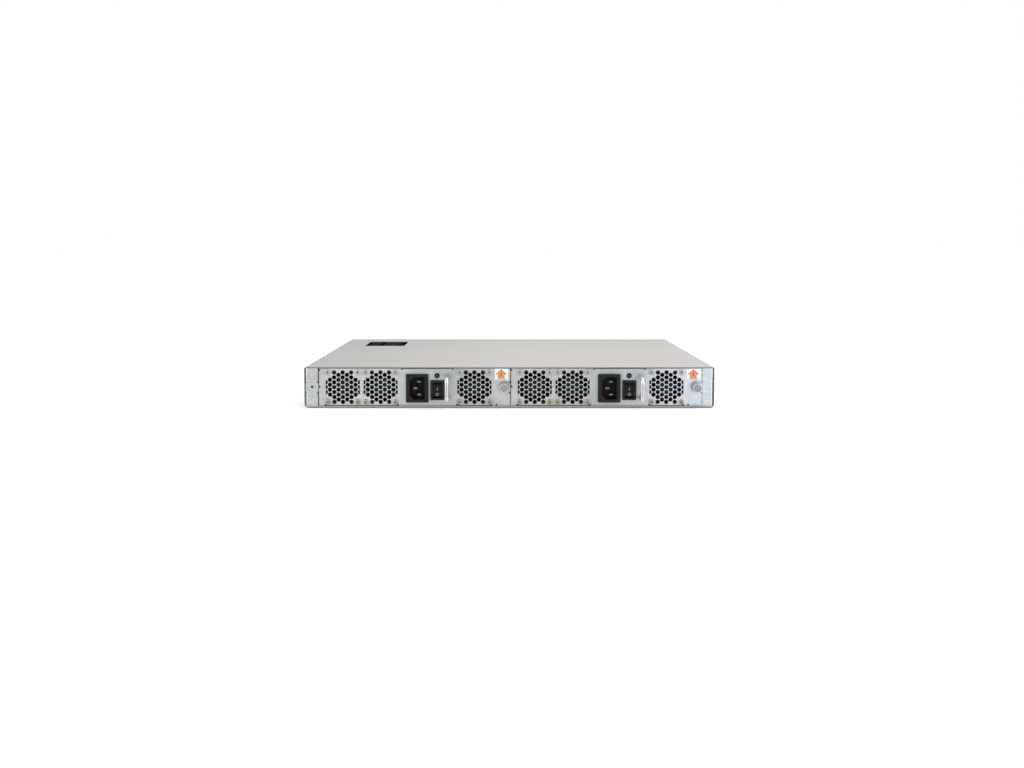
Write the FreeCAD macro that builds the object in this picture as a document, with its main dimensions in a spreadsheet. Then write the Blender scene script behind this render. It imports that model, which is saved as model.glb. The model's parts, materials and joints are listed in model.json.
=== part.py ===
import FreeCAD, Part
import os

import Sketcher

# A one-unit rackmount network switch, in millimetres.
# X runs across the chassis, Y from the power-supply face to the port face, Z up.
# The origin is the centre of the chassis's bottom face.

Vector = FreeCAD.Vector

SIZES = (
    # chassis sheet metal
    ("width", 439.6, "chassis, side to side"),
    ("height", 43.2, "chassis, bottom to top"),
    ("depth", 443.2, "chassis, power face to port face"),
    ("base_sheet", 1.5, "sheet of the base tray"),
    ("cover_sheet", 1.0, "sheet of the top cover"),
    ("post_sheet", 1.2, "sheet of the posts and the port panel"),
    ("wall_sheet", 1.0, "sheet of the inner walls"),
    ("slip", 0.1, "clearance between nested sheets"),
    ("skirt", 11.2, "height of the cover's side skirts"),
    ("base_bend", 3.0, "outside radius of the tray's long bends"),
    ("cover_bend", 1.6, "outside radius of the cover's long bends"),
    ("post_bend", 1.7, "outside radius of the posts' bends"),
    ("post_flange", 14.0, "depth of the posts' flanges"),
    ("post_recess", 1.2, "how far a covered post stands behind the face"),
    ("left_post_right", -204.7, "right edge of the left post"),
    ("post_hole_x", -211.5, "threaded hole in the left post"),
    ("thread_hole", 1.4, "radius of the posts' threaded holes"),
    ("boss", 2.6, "radius of the boss around a threaded hole"),
    ("boss_end", 4.0, "end of the boss, behind the face"),
    ("left_post_notch", 0.1, "outer notches, from the left post's edge"),
    ("right_notch", 0.5, "inner notches, from the left post's edge"),
    ("centre_post_left", 7.5, "centre post, left of its hole"),
    ("centre_post_right", 5.5, "centre post, right of its hole"),
    ("right_post_left", 7.3, "right post, left of its hole"),
    ("notch", 0.95, "radius of a bend-relief notch"),
    ("notch_high", 27.0, "upper notches, above the bottom"),
    ("notch_low", 16.0, "lower notches, above the bottom"),
    # rail and ear fixing holes in the sides
    ("side_hole", 2.0, "radius of the fixing holes in the sides"),
    ("ear_y", 180.0, "centre of the ear holes"),
    ("ear_pitch_y", 40.0, "ear holes, along the side"),
    ("ear_low", 9.0, "lower ear holes, above the bottom"),
    ("ear_pitch_z", 16.0, "ear holes, up the side"),
    ("rail_y", -150.0, "centre of the rail holes"),
    ("rail_pitch", 60.0, "rail holes, along the side"),
    ("rail_z", 17.0, "rail holes, above the bottom"),
    ("cover_screw_z", 37.0, "cover screws, above the bottom"),
    ("cover_screw_pitch", 95.0, "cover screws, along the side"),
    ("cover_screw_end", 5.0, "length of a cover screw"),
    ("screw_head", 2.6, "radius of a cover screw's head"),
    ("head_sink", 0.7, "depth of a cover screw's head in the skirt"),
    ("screw_shank", 1.4, "radius of a small screw's shank"),
    ("cross_half", 0.35, "half the width of a cross recess's slots"),
    # inner walls and boards of the chassis
    ("mid_wall_y", -7.0, "front of the wall behind the bays"),
    ("divider_x", -6.0, "middle of the wall between the bays"),
    ("divider_front", 17.0, "front of that wall, behind the face"),
    ("socket_depth", 8.0, "depth of a power socket"),
    ("socket_slot", 6.5, "depth of its slot"),
    ("socket_wall", 3.0, "socket beside the card edge"),
    ("socket_lip", 2.5, "socket above and below the card edge"),
    ("wall_vent_x", -205.0, "first slot of the wall behind the bays"),
    ("wall_vent_low", 14.0, "lower end of the wall's slots"),
    ("wall_vent_high", 38.0, "upper end of the wall's slots"),
    ("board_low", 7.0, "underside of the main board"),
    ("board", 1.6, "thickness of a circuit board"),
    ("board_half", 212.0, "main board, half its width"),
    ("board_back", 3.0, "main board to the port face"),
    ("standoff", 3.0, "radius of a board standoff"),
    ("standoff_head", 1.6, "height of a standoff screw's head"),
    ("chip", 2.6, "height of the switch chip"),
    ("heatsink_base", 4.0, "base of the heatsink"),
    ("heatsink_fins", 20.0, "height of the heatsink's fins"),
    ("heatsink_fin", 1.2, "thickness of a fin"),
    # port face
    ("cage_x", 92.0, "centre of the first cage block"),
    ("cage_step", -72.0, "from one cage block to the next"),
    ("cage_wall", 0.6, "sheet of a cage"),
    ("cell_width", 14.0, "inside width of a port"),
    ("cell_height", 9.0, "inside height of a port"),
    ("row_gap", 4.0, "between the upper and lower ports"),
    ("cage_depth", 48.0, "cage behind the port face"),
    ("cage_proud", 1.0, "cage in front of the port face"),
    ("pipe", 1.1, "radius of a light pipe"),
    ("pipe_z", 35.0, "light pipes, above the bottom"),
    ("pipe_half", 2.2, "half the spacing of a pair of pipes"),
    ("jack_x", 182.0, "centre of the first network jack"),
    ("jack_step", -18.0, "from one network jack to the next"),
    ("jack_width", 16.0, "network jack"),
    ("jack_height", 13.6, "network jack"),
    ("jack_depth", 21.0, "network jack"),
    ("jack_cavity", 14.0, "depth of a jack's cavity"),
    ("jack_proud", 0.5, "jacks in front of the port face"),
    ("usb_x", 143.0, "centre of the USB port"),
    ("usb_width", 14.4, "USB port"),
    ("usb_height", 7.4, "USB port"),
    ("usb_depth", 14.0, "USB port"),
    ("usb_cavity", 10.0, "depth of the USB port's cavity"),
    ("usb_sheet", 1.0, "wall of the USB port"),
    ("vent_slot", 3.2, "width of a ventilation slot"),
    ("vent_pitch", 5.4, "from one ventilation slot to the next"),
    ("port_vent_x", -204.0, "first slot of the port panel"),
    ("port_vent_low", 10.0, "lower end of the panel's slots"),
    ("port_vent_high", 34.0, "upper end of the panel's slots"),
    # power-supply bays
    ("left_bay", -204.4, "left edge of the left bay"),
    ("right_bay", 1.4, "left edge of the right bay"),
    # power-supply module, from its bay's left edge
    ("bay_gap", 0.3, "faceplate to the bay's edge"),
    ("bay", 205.8, "width of a bay"),
    ("plate", 1.0, "sheet of the faceplate"),
    ("plate_low", 1.9, "bottom edge of the faceplate"),
    ("plate_high", 41.8, "top edge of the faceplate"),
    ("plate_bend", 0.8, "outside radius of the faceplate's bends"),
    ("case_left", 2.0, "left side of the module's case"),
    ("case_right", 190.0, "right side of the module's case"),
    ("case_low", 1.9, "underside of the module's case"),
    ("case_sheet", 0.7, "sheet of the module's case"),
    ("case_back", 204.9, "back of the module's case"),
    ("case_vent_x", 12.0, "first slot in the case's back"),
    ("case_vent", 3.4, "width of a slot in the case's back"),
    ("case_vent_low", 13.0, "lower end of the case's slots"),
    ("case_vent_high", 37.0, "upper end of the case's slots"),
    ("case_vent_pitch", 6.0, "from one slot of the case to the next"),
    ("board_front", 32.0, "front of the power board"),
    ("board_gap", 3.0, "power board to the case's sides"),
    ("card_low", 6.0, "underside of the power board"),
    ("card_left", 60.0, "left side of the card edge"),
    ("card_right", 130.0, "right side of the card edge"),
    ("card_back", 212.6, "end of the card edge"),
    # fans
    ("fan_first", 25.9, "centre of the first fan"),
    ("fan_second", 66.4, "centre of the second fan"),
    ("fan_third", 167.0, "centre of the third fan"),
    ("fan_z", 21.7, "centre of the fans, above the bottom"),
    ("fan_side", 38.0, "side of a fan's square frame"),
    ("fan_depth", 28.0, "depth of a fan's frame"),
    ("fan_bore", 18.2, "radius of a fan's duct"),
    ("fan_screw", 16.0, "fan screws from the fan's centre"),
    ("bearing_depth", 4.0, "depth of the plate around a fan's bearing"),
    ("spoke_depth", 3.5, "depth of a fan's spokes"),
    ("spoke_half", 1.0, "half the width of a fan's spokes"),
    ("hub", 9.8, "radius of a rotor's hub"),
    ("hub_front", 3.5, "front of the hub"),
    ("hub_gap", 5.0, "back of the hub to the back of the frame"),
    ("axle_length", 3.5, "shaft behind the hub"),
    ("blade_tip", 16.8, "tip of a blade from the axis"),
    ("blade_chord", 15.0, "width of a blade"),
    ("blade_sheet", 1.1, "thickness of a blade"),
    ("blade_pitch", 42.0, "angle of a blade, in degrees"),
    ("axle", 1.0, "radius of a rotor's shaft"),
    ("running", 0.05, "radial clearance of a shaft in its bearing"),
    ("vent_hole", 2.35, "radius of a hole in the fan grille"),
    ("vent_column", 4.58, "grille, from column to column"),
    ("vent_row", 5.29, "grille, from row to row"),
    ("grille_edge", 0.6, "solid part of the outer columns, in columns"),
    ("grille_edge_z", 8.5, "half the height of a grille's straight sides"),
    ("pan_head", 2.75, "radius of a fan screw's head"),
    ("pan_depth", 1.5, "height of a fan screw's head"),
    ("pan_round", 0.8, "rounding of a fan screw's head"),
    ("pan_recess", 0.8, "depth of the recess in a fan screw's head"),
    ("fan_shank", 1.5, "radius of a fan screw's shank"),
    ("fan_screw_end", 9.0, "end of a fan screw, behind the face"),
    # mains inlet
    ("inlet_x", 105.7, "centre of the mains inlet"),
    ("inlet_z", 20.6, "centre of the mains inlet, above the bottom"),
    ("inlet_flange_x", 24.0, "width of the inlet's flange"),
    ("inlet_flange_z", 30.5, "height of the inlet's flange"),
    ("inlet_proud", 2.2, "inlet's flange in front of the face"),
    ("inlet_body_x", 20.0, "width of the inlet's body"),
    ("inlet_body_z", 27.4, "height of the inlet's body"),
    ("inlet_back", 22.0, "back of the inlet's body"),
    ("cavity_x", 16.0, "width of the inlet's cavity"),
    ("cavity_z", 24.3, "height of the inlet's cavity"),
    ("cavity_cut", 4.6, "chamfer of the cavity's two earth-side corners"),
    ("cavity_back", 13.8, "bottom of the cavity, behind the face"),
    ("pin_x", 4.0, "width of a contact blade"),
    ("pin_z", 2.0, "thickness of a contact blade"),
    ("pin_side", 2.0, "contact blades, sideways from the centre"),
    ("pin_up", 7.0, "outer contact blades, up and down from the centre"),
    ("pin_front", 0.2, "front of the outer contact blades, behind the face"),
    ("earth_lead", 1.0, "earth blade in front of the outer ones"),
    ("pin_tail", 5.0, "contact blades behind the inlet's body"),
    # rocker switch
    ("switch_x", 127.25, "centre of the rocker switch"),
    ("switch_z", 18.6, "centre of the rocker switch, above the bottom"),
    ("bezel_x", 14.9, "width of the switch's bezel"),
    ("bezel_z", 21.2, "height of the switch's bezel"),
    ("bezel_proud", 1.8, "bezel in front of the face"),
    ("switch_body_x", 12.6, "width of the switch's body"),
    ("switch_body_z", 18.6, "height of the switch's body"),
    ("switch_back", 14.0, "back of the switch's body"),
    ("switch_well", 9.0, "bottom of the rocker's well, behind the face"),
    ("rocker_gap", 0.6, "rocker's ends to the well"),
    ("tab_half_x", 3.1, "half the width of a connecting tab"),
    ("tab_half_z", 0.4, "half the thickness of a connecting tab"),
    ("tab_length", 8.0, "connecting tabs behind the switch's body"),
    ("tab_pitch", 6.0, "from one connecting tab to the next"),
    ("rocker_x", 10.0, "width of the rocker"),
    ("rocker_z", 18.1, "rocker's axis, above the bottom"),
    ("rocker_half", 7.5, "half the height of the rocker"),
    ("rocker_lip", 6.0, "edges of the rocker's front, from its middle"),
    ("rocker_valley", 1.1, "depth of the rocker's V front"),
    ("rocker_back", 4.5, "back of the rocker behind its axis"),
    ("rocker_pivot", 1.0, "rocker's axis behind the face"),
    ("rocker_tilt", 10.0, "rocker's tilt in either position, in degrees"),
    ("trunnion", 1.2, "radius of the rocker's trunnions"),
    ("trunnion_length", 0.9, "trunnions beside the rocker"),
    # indicator, handle and captive screw
    ("led_x", 127.0, "centre of the indicator"),
    ("led_z", 34.1, "centre of the indicator, above the bottom"),
    ("led_ring", 2.75, "radius of the indicator's ring"),
    ("led_ring_proud", 0.9, "indicator's ring in front of the face"),
    ("led_lens", 1.5, "radius of the indicator's lens"),
    ("led_lens_proud", 1.7, "indicator's lens in front of the face"),
    ("led_body", 2.1, "radius of the indicator's body"),
    ("led_back", 7.0, "back of the indicator's body"),
    ("handle_x", 138.6, "middle of the handle"),
    ("handle_low", 10.9, "lower leg of the handle, above the bottom"),
    ("handle_high", 32.9, "upper leg of the handle, above the bottom"),
    ("handle_rod", 2.0, "radius of the handle's rod"),
    ("handle_proud", 30.0, "handle's bar in front of the face"),
    ("handle_bend", 5.0, "centreline radius of the handle's bends"),
    ("handle_foot", 1.5, "radius of the handle's feet"),
    ("handle_rivet", 2.6, "radius of the riveted end of a foot"),
    ("rivet_depth", 1.2, "thickness of the riveted end"),
    ("screw_x", 198.7, "centre of the captive screw"),
    ("screw_z", 22.0, "centre of the captive screw, above the bottom"),
    ("knob", 4.7, "radius of the captive screw's knob"),
    ("knob_round", 0.7, "rounding of the knob's front edge"),
    ("knob_dish", 3.5, "radius of the dish in the knob"),
    ("dish_depth", 1.8, "depth of the dish"),
    ("knob_boss", 2.3, "radius of the boss in the dish"),
    ("boss_sink", 0.4, "front of the boss behind the knob's front"),
    ("knob_cross", 1.7, "half the length of the knob's cross recess"),
    ("cross_depth", 1.5, "bottom of the cross behind the knob's front"),
    ("knurl", 0.45, "radius of a groove of the knurl"),
    ("knob_front", 14.0, "front of the knob, in front of the face"),
    ("knob_back", 5.6, "back of the knob, in front of the face"),
    ("captive_shank", 1.7, "radius of the captive screw's shank"),
    ("captive_tip", 1.35, "radius of the captive screw's threaded tip"),
    ("captive_end", 4.4, "end of the captive screw, behind the face"),
    ("ferrule", 4.2, "radius of the screw's ferrule"),
    ("ferrule_bore", 2.6, "bore of the ferrule"),
    ("ferrule_front", 5.0, "front of the ferrule, in front of the face"),
    ("ferrule_lip", 0.6, "thickness of the ferrule's lip"),
    ("ferrule_foot", 2.8, "radius of the ferrule's foot in the plate"),
    ("retainer_front", 0.9, "front of the retaining ring, in front of the face"),
    ("retainer_back", 0.1, "back of the retaining ring, in front of the face"),
)


class Size:
    """A length that carries its value and the sheet expression that gives it."""

    def __init__(self, value, text):
        self.value = value
        self.text = text

    def __add__(self, other):
        return combined(self, "+", other)

    def __radd__(self, other):
        return combined(other, "+", self)

    def __sub__(self, other):
        return combined(self, "-", other)

    def __rsub__(self, other):
        return combined(other, "-", self)

    def __mul__(self, other):
        return combined(self, "*", other)

    def __rmul__(self, other):
        return combined(other, "*", self)

    def __truediv__(self, other):
        return combined(self, "/", other)

    def __neg__(self):
        return Size(-self.value, f"(-{self.text})")


def as_size(number):
    return number if isinstance(number, Size) else Size(float(number), f"({number})")


def combined(left, sign, right):
    a, b = as_size(left), as_size(right)
    if sign == "+":
        value = a.value + b.value
    elif sign == "-":
        value = a.value - b.value
    elif sign == "*":
        value = a.value * b.value
    else:
        value = a.value / b.value
    return Size(value, f"({a.text} {sign} {b.text})")


class Dims:
    """The driving dimensions, one attribute for each alias of the sheet."""

    def __init__(self, sheet):
        for row, (alias, value, note) in enumerate(SIZES, 1):
            sheet.set(f"A{row}", note)
            sheet.set(f"B{row}", str(value))
            sheet.setAlias(f"B{row}", alias)
            setattr(self, alias, Size(value, "Dims." + alias))


doc = FreeCAD.newDocument("NetworkSwitch")
d = Dims(doc.addObject("Spreadsheet::Sheet", "Dims"))
doc.recompute()

subparts = []

FRONT = -d.depth / 2
BACK = d.depth / 2
SIDE = d.width / 2
COVER_UNDER = d.height - d.cover_sheet
INNER_TOP = COVER_UNDER - d.slip
BOARD_TOP = d.board_low + d.board
CARD_TOP = d.card_low + d.board
FANS = (d.fan_first, d.fan_second, d.fan_third)
CAGE_WIDTH = 4 * (d.cell_width + d.cage_wall) + d.cage_wall
CAGE_HEIGHT = 2 * d.cell_height + d.row_gap + 2 * d.cage_wall

TURNS = {
    "x": FreeCAD.Rotation(Vector(0, 1, 0), 90),
    "y": FreeCAD.Rotation(Vector(1, 0, 0), -90),
    "z": FreeCAD.Rotation(),
}


# ---------------------------------------------------------------- helpers


def drive(item, path, size):
    """Bind one property of an object to the sheet."""
    item.setExpression(path, as_size(size).text)


def subpart(label, x=0, y=0, z=0):
    """A new body with its own frame at (x, y, z)."""
    body = doc.addObject("PartDesign::Body", label)
    body.Label = label
    for axis, place in zip("xyz", (x, y, z)):
        drive(body, "Placement.Base." + axis, place)
    subparts.append(body)
    return body


def box(body, x, y, z, cut=False):
    """A block between two values on each axis."""
    kind = "Subtractive" if cut else "Additive"
    item = body.newObject(f"PartDesign::{kind}Box", "Box")
    for length, axis, (low, high) in zip(("Length", "Width", "Height"), "xyz", (x, y, z)):
        drive(item, length, as_size(high) - low)
        drive(item, "Placement.Base." + axis, low)
    return item


def in_order(*places):
    return sorted(places, key=lambda place: place.value)


def around(centre, half):
    """The span from one side of a place to the other."""
    return (centre - half, centre + half)


def rod(body, axis, centre, radius, span, cut=False):
    """A cylinder along an axis; centre gives its places on the other two axes, in order."""
    kind = "Subtractive" if cut else "Additive"
    item = body.newObject(f"PartDesign::{kind}Cylinder", "Rod")
    item.Placement = FreeCAD.Placement(Vector(), TURNS[axis])
    drive(item, "Radius", radius)
    drive(item, "Height", as_size(span[1]) - span[0])
    places = list(centre)
    places.insert("xyz".index(axis), span[0])
    for name, place in zip("xyz", places):
        drive(item, "Placement.Base." + name, place)
    return item


def origin_feature(body, role):
    return [item for item in body.Origin.OriginFeatures if item.Role == role][0]


def sketch(body, plane, offset):
    """A sketch parallel to an origin plane. The XZ plane faces -Y."""
    item = body.newObject("Sketcher::SketchObject", "Sketch")
    item.AttachmentSupport = [(origin_feature(body, plane + "_Plane"), "")]
    item.MapMode = "FlatFace"
    drive(item, "AttachmentOffset.Base.z", offset)
    return item


def extruded(body, plane, span, cut, draw):
    """A pad, or a pocket, of a profile between two places on the plane's normal."""
    low, high = span
    if plane == "XZ":
        offset = -as_size(low if cut else high)
    else:
        offset = high if cut else low
    profile = sketch(body, plane, offset)
    draw(profile)
    item = body.newObject("PartDesign::Pocket" if cut else "PartDesign::Pad", "Extrusion")
    item.Profile = profile
    drive(item, "Length", as_size(high) - low)
    profile.Visibility = False
    return item


def located(profile, geometry, point, places, first):
    """Constraints that hold a point of a sketch, and the expressions that drive them."""
    rules, drivers = [], []
    for kind, place in zip(("DistanceX", "DistanceY"), places):
        size = as_size(place)
        rules.append(Sketcher.Constraint(kind, -1, 1, geometry, point, size.value))
        drivers.append((first + len(drivers), size))
    return rules, drivers


def polygon(body, plane, points, span, cut=False):
    """A prism with straight sides, every corner of its outline driven."""

    def draw(profile):
        corners = [Vector(as_size(a).value, as_size(b).value, 0) for a, b in points]
        ends = corners[1:] + corners[:1]
        profile.addGeometry([Part.LineSegment(p, q) for p, q in zip(corners, ends)])
        count = len(points)
        rules = [Sketcher.Constraint("Coincident", n, 2, (n + 1) % count, 1) for n in range(count)]
        drivers = []
        for n, places in enumerate(points):
            more, places_driven = located(profile, n, 1, places, len(rules))
            rules += more
            drivers += places_driven
        profile.addConstraint(rules)
        for index, size in drivers:
            drive(profile, f"Constraints[{index}]", size)

    return extruded(body, plane, span, cut, draw)


def rounds(body, plane, centres, radius, span, cut=False):
    """Equal round bars, or holes, at the given centres on a plane."""

    def draw(profile):
        size = as_size(radius)
        normal = Vector(0, 0, 1)
        points = [Vector(as_size(a).value, as_size(b).value, 0) for a, b in centres]
        circles = [Part.Circle(point, normal, size.value) for point in points]
        profile.addGeometry(circles)
        rules = [Sketcher.Constraint("Radius", 0, size.value)]
        rules += [Sketcher.Constraint("Equal", 0, n) for n in range(1, len(circles))]
        drivers = [(0, size)]
        for n, places in enumerate(centres):
            more, places_driven = located(profile, n, 3, places, len(rules))
            rules += more
            drivers += places_driven
        profile.addConstraint(rules)
        for index, place in drivers:
            drive(profile, f"Constraints[{index}]", place)

    return extruded(body, plane, span, cut, draw)


def repeat(body, originals, axis, count, pitch):
    """Copies of features in a row."""
    item = body.newObject("PartDesign::LinearPattern", "Row")
    item.Originals = originals
    item.Direction = (origin_feature(body, axis + "_Axis"), [""])
    item.Occurrences = count
    drive(item, "Length", as_size(pitch) * (count - 1))
    body.Tip = item
    return item


def circle_of(body, originals, count):
    """Copies of features around the body's Y axis."""
    item = body.newObject("PartDesign::PolarPattern", "Ring")
    item.Originals = originals
    item.Axis = (origin_feature(body, "Y_Axis"), [""])
    item.Angle = 360
    item.Occurrences = count
    body.Tip = item
    return item


def cross_recess(body, axis, centre, reach, span):
    """A cross sunk in a screw's head that faces along the axis."""
    first, second = centre
    for along, up in ((reach, d.cross_half), (d.cross_half, reach)):
        spans = [around(first, along), around(second, up)]
        spans.insert("xyz".index(axis), span)
        box(body, *spans, cut=True)


def soften(body, radius, wanted):
    """Round the edges of a body that a test picks."""
    doc.recompute()
    base = body.Tip
    names = [f"Edge{n}" for n, edge in enumerate(base.Shape.Edges, 1) if wanted(edge)]
    if not names:
        raise ValueError(f"{body.Label} has no edge to round")
    item = body.newObject("PartDesign::Fillet", "Rounding")
    item.Base = (base, names)
    drive(item, "Radius", radius)
    return item


def runs(edge, axis, **places):
    """Whether an edge runs along an axis, with its middle at or between the given places."""
    bounds = edge.BoundBox
    extent = {"x": bounds.XLength, "y": bounds.YLength, "z": bounds.ZLength}
    if any(extent[name] > 0.01 for name in "xyz" if name != axis) or extent[axis] < 0.01:
        return False
    middle = {"x": bounds.Center.x, "y": bounds.Center.y, "z": bounds.Center.z}
    for name, wanted in places.items():
        low, high = wanted if isinstance(wanted, tuple) else (wanted, wanted)
        if not as_size(low).value - 0.01 < middle[name] < as_size(high).value + 0.01:
            return False
    return True


# ---------------------------------------------------------------- chassis


def both_sides(half, thickness):
    """The x spans of a wall on the left and the right; half is its outer face."""
    return ((-half, -half + thickness), (half - thickness, half))


def ear_holes():
    for y in (d.ear_y - d.ear_pitch_y / 2, d.ear_y + d.ear_pitch_y / 2):
        for z in (d.ear_low, d.ear_low + d.ear_pitch_z):
            yield y, z


def rail_holes():
    for y in (d.rail_y - d.rail_pitch / 2, d.rail_y + d.rail_pitch / 2):
        yield y, d.rail_z


def cover_screw_places():
    return [(step * d.cover_screw_pitch, d.cover_screw_z) for step in (-2, -1, 0, 1, 2)]


JOGGLE = d.height - d.skirt - d.slip
UPPER_OUT = SIDE - d.cover_sheet - d.slip
UPPER_IN = UPPER_OUT - d.base_sheet
LOWER_IN = SIDE - d.base_sheet
TRAY_TOP = INNER_TOP - (d.cover_bend - d.cover_sheet)
TRAY_BEND = d.base_bend - d.base_sheet
COVER_EDGE_ROUND = 0.5
COVER_RECESS = 0.5
COVER_CROSS = 1.8


def base_tray():
    """Floor and both sides in one sheet; the sides step inwards under the cover's skirts."""
    body = subpart("base_tray")
    right = [
        (SIDE, 0),
        (SIDE, JOGGLE),
        (UPPER_OUT, JOGGLE),
        (UPPER_OUT, TRAY_TOP),
        (UPPER_IN, TRAY_TOP),
        (UPPER_IN, JOGGLE - d.base_sheet),
        (LOWER_IN, JOGGLE - d.base_sheet),
        (LOWER_IN, d.base_sheet),
    ]
    left = [(-x, z) for x, z in reversed(right)]
    polygon(body, "XZ", right + left, (FRONT, BACK))
    soften(body, d.base_bend, lambda edge: runs(edge, "y", z=0))
    soften(body, TRAY_BEND, lambda edge: runs(edge, "y", z=d.base_sheet))
    post_end = FRONT + d.post_flange + 1
    for x in both_sides(UPPER_OUT, d.base_sheet):
        box(body, x, (FRONT, post_end), (JOGGLE, INNER_TOP), cut=True)
    for x in both_sides(LOWER_IN, LOWER_IN - UPPER_IN):
        box(body, x, (FRONT, post_end), (JOGGLE - d.base_sheet, JOGGLE), cut=True)
    places = list(ear_holes()) + list(rail_holes())
    rounds(body, "YZ", places, d.side_hole, (-SIDE - 1, SIDE + 1), cut=True)
    rounds(body, "YZ", cover_screw_places(), d.screw_shank + d.running, (-SIDE - 1, SIDE + 1), cut=True)


def top_cover():
    """Flat top with a skirt down each side."""
    body = subpart("top_cover")
    low = JOGGLE + d.slip
    inside = SIDE - d.cover_sheet
    right = [(SIDE, d.height), (SIDE, low), (inside, low), (inside, COVER_UNDER)]
    left = [(-x, z) for x, z in reversed(right)]
    polygon(body, "XZ", right + left, (FRONT, BACK))
    soften(body, d.cover_bend, lambda edge: runs(edge, "y", z=d.height))
    soften(body, d.cover_bend - d.cover_sheet, lambda edge: runs(edge, "y", z=COVER_UNDER))
    soften(body, COVER_EDGE_ROUND, lambda edge: runs(edge, "x", y=FRONT, z=d.height))
    rounds(body, "YZ", cover_screw_places(), d.screw_shank + d.slip, (-SIDE - 1, SIDE + 1), cut=True)
    for x in both_sides(SIDE, d.head_sink):
        rounds(body, "YZ", cover_screw_places(), d.screw_head + d.slip, x, cut=True)


def cover_screws():
    """Countersunk screws through the cover's skirts into the tray's sides."""
    body = subpart("cover_screws")
    for y, z in cover_screw_places():
        for side in (-1, 1):
            outer, inner = side * SIDE, side * (SIDE - d.head_sink)
            end = side * (SIDE - d.cover_screw_end)
            rod(body, "x", (y, z), d.screw_head, in_order(outer, inner))
            rod(body, "x", (y, z), d.screw_shank, in_order(inner, end))
            recess = side * (SIDE - COVER_RECESS)
            cross_recess(body, "x", (y, z), COVER_CROSS, in_order(outer, recess))


def clear_tray_bend(body, x, inward):
    """Cut the lower outer corner of a post, so that it clears the tray's bend; inward is 1 or -1."""
    low = d.base_sheet
    corner = [(x, low), (x + inward * TRAY_BEND, low), (x, low + TRAY_BEND)]
    if inward < 0:
        corner.reverse()
    polygon(body, "XZ", corner, (FRONT - 1, FRONT + d.post_flange + 1), cut=True)


def threaded_boss(body, x, y):
    """A hole with an extruded collar behind it; y is the front of the sheet."""
    end = FRONT + d.boss_end
    rod(body, "y", (x, d.screw_z), d.boss, (y, end))
    rod(body, "y", (x, d.screw_z), d.thread_hole, (y - 1, end + 1), cut=True)


def left_post():
    """Upright channel beside the left bay, flush with the face, its flanges notched."""
    body = subpart("left_post")
    left, right = -LOWER_IN + d.slip, d.left_post_right
    sheet, rear = d.post_sheet, FRONT + d.post_flange
    outline = [
        (left, FRONT),
        (right, FRONT),
        (right, rear),
        (right - sheet, rear),
        (right - sheet, FRONT + sheet),
        (left + sheet, FRONT + sheet),
        (left + sheet, rear),
        (left, rear),
    ]
    polygon(body, "XY", outline, (d.base_sheet, INNER_TOP))
    soften(body, d.post_bend, lambda edge: runs(edge, "z", y=FRONT))
    between = (d.notch_low, d.notch_high)
    box(body, (left, right), (FRONT + sheet, rear), between, cut=True)
    box(body, (left, right), (FRONT, FRONT + sheet), between)
    for x in (left + d.left_post_notch, right - d.right_notch):
        for z in between:
            rod(body, "y", (x, z), d.notch, (FRONT - 1, FRONT + 3), cut=True)
    clear_tray_bend(body, left, 1)
    threaded_boss(body, d.post_hole_x, FRONT)


def centre_post():
    """Upright channel between the bays, behind the left faceplate's edge."""
    body = subpart("centre_post")
    middle = d.left_bay + d.screw_x
    left, right = middle - d.centre_post_left, middle + d.centre_post_right
    face, rear = FRONT + d.post_recess, FRONT + d.post_flange
    outline = [
        (left, face),
        (right, face),
        (right, rear),
        (right - d.post_sheet, rear),
        (right - d.post_sheet, face + d.post_sheet),
        (left + d.post_sheet, face + d.post_sheet),
        (left + d.post_sheet, rear),
        (left, rear),
    ]
    polygon(body, "XY", outline, (d.base_sheet, INNER_TOP))
    threaded_boss(body, middle, face)


def right_post():
    """Upright beside the right bay: flush where it shows, stepped back behind the faceplate."""
    body = subpart("right_post")
    middle = d.right_bay + d.screw_x
    left, right = middle - d.right_post_left, LOWER_IN - d.slip
    step = d.right_bay + d.bay - d.slip
    face, rear = FRONT + d.post_recess, FRONT + d.post_flange
    sheet = d.post_sheet
    outline = [
        (left, face),
        (step, face),
        (step, FRONT),
        (right, FRONT),
        (right, rear),
        (right - sheet, rear),
        (right - sheet, FRONT + sheet),
        (step + sheet, FRONT + sheet),
        (step + sheet, face + sheet),
        (left + sheet, face + sheet),
        (left + sheet, rear),
        (left, rear),
    ]
    polygon(body, "XY", outline, (d.base_sheet, INNER_TOP))
    soften(body, d.post_bend, lambda edge: runs(edge, "z", x=right, y=FRONT))
    clear_tray_bend(body, right, -1)
    threaded_boss(body, middle, face)


def bay_divider():
    """Wall between the two bays."""
    body = subpart("bay_divider")
    half = d.wall_sheet / 2
    y = (FRONT + d.divider_front, d.mid_wall_y)
    box(body, (d.divider_x - half, d.divider_x + half), y, (d.base_sheet, INNER_TOP))


WALL_VENTS = 76
PANEL_VENTS = 21
CASE_VENTS = 28


def mid_wall():
    """Wall behind the bays, slotted so that the fans' air passes."""
    body = subpart("mid_wall")
    y = (d.mid_wall_y, d.mid_wall_y + d.wall_sheet)
    half = UPPER_IN - d.slip
    box(body, (-half, half), y, (d.base_sheet, INNER_TOP))
    x = (d.wall_vent_x, d.wall_vent_x + d.vent_slot)
    slot = box(body, x, (y[0] - 1, y[1] + 1), (d.wall_vent_low, d.wall_vent_high), cut=True)
    repeat(body, [slot], "X", WALL_VENTS, d.vent_pitch)


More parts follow.
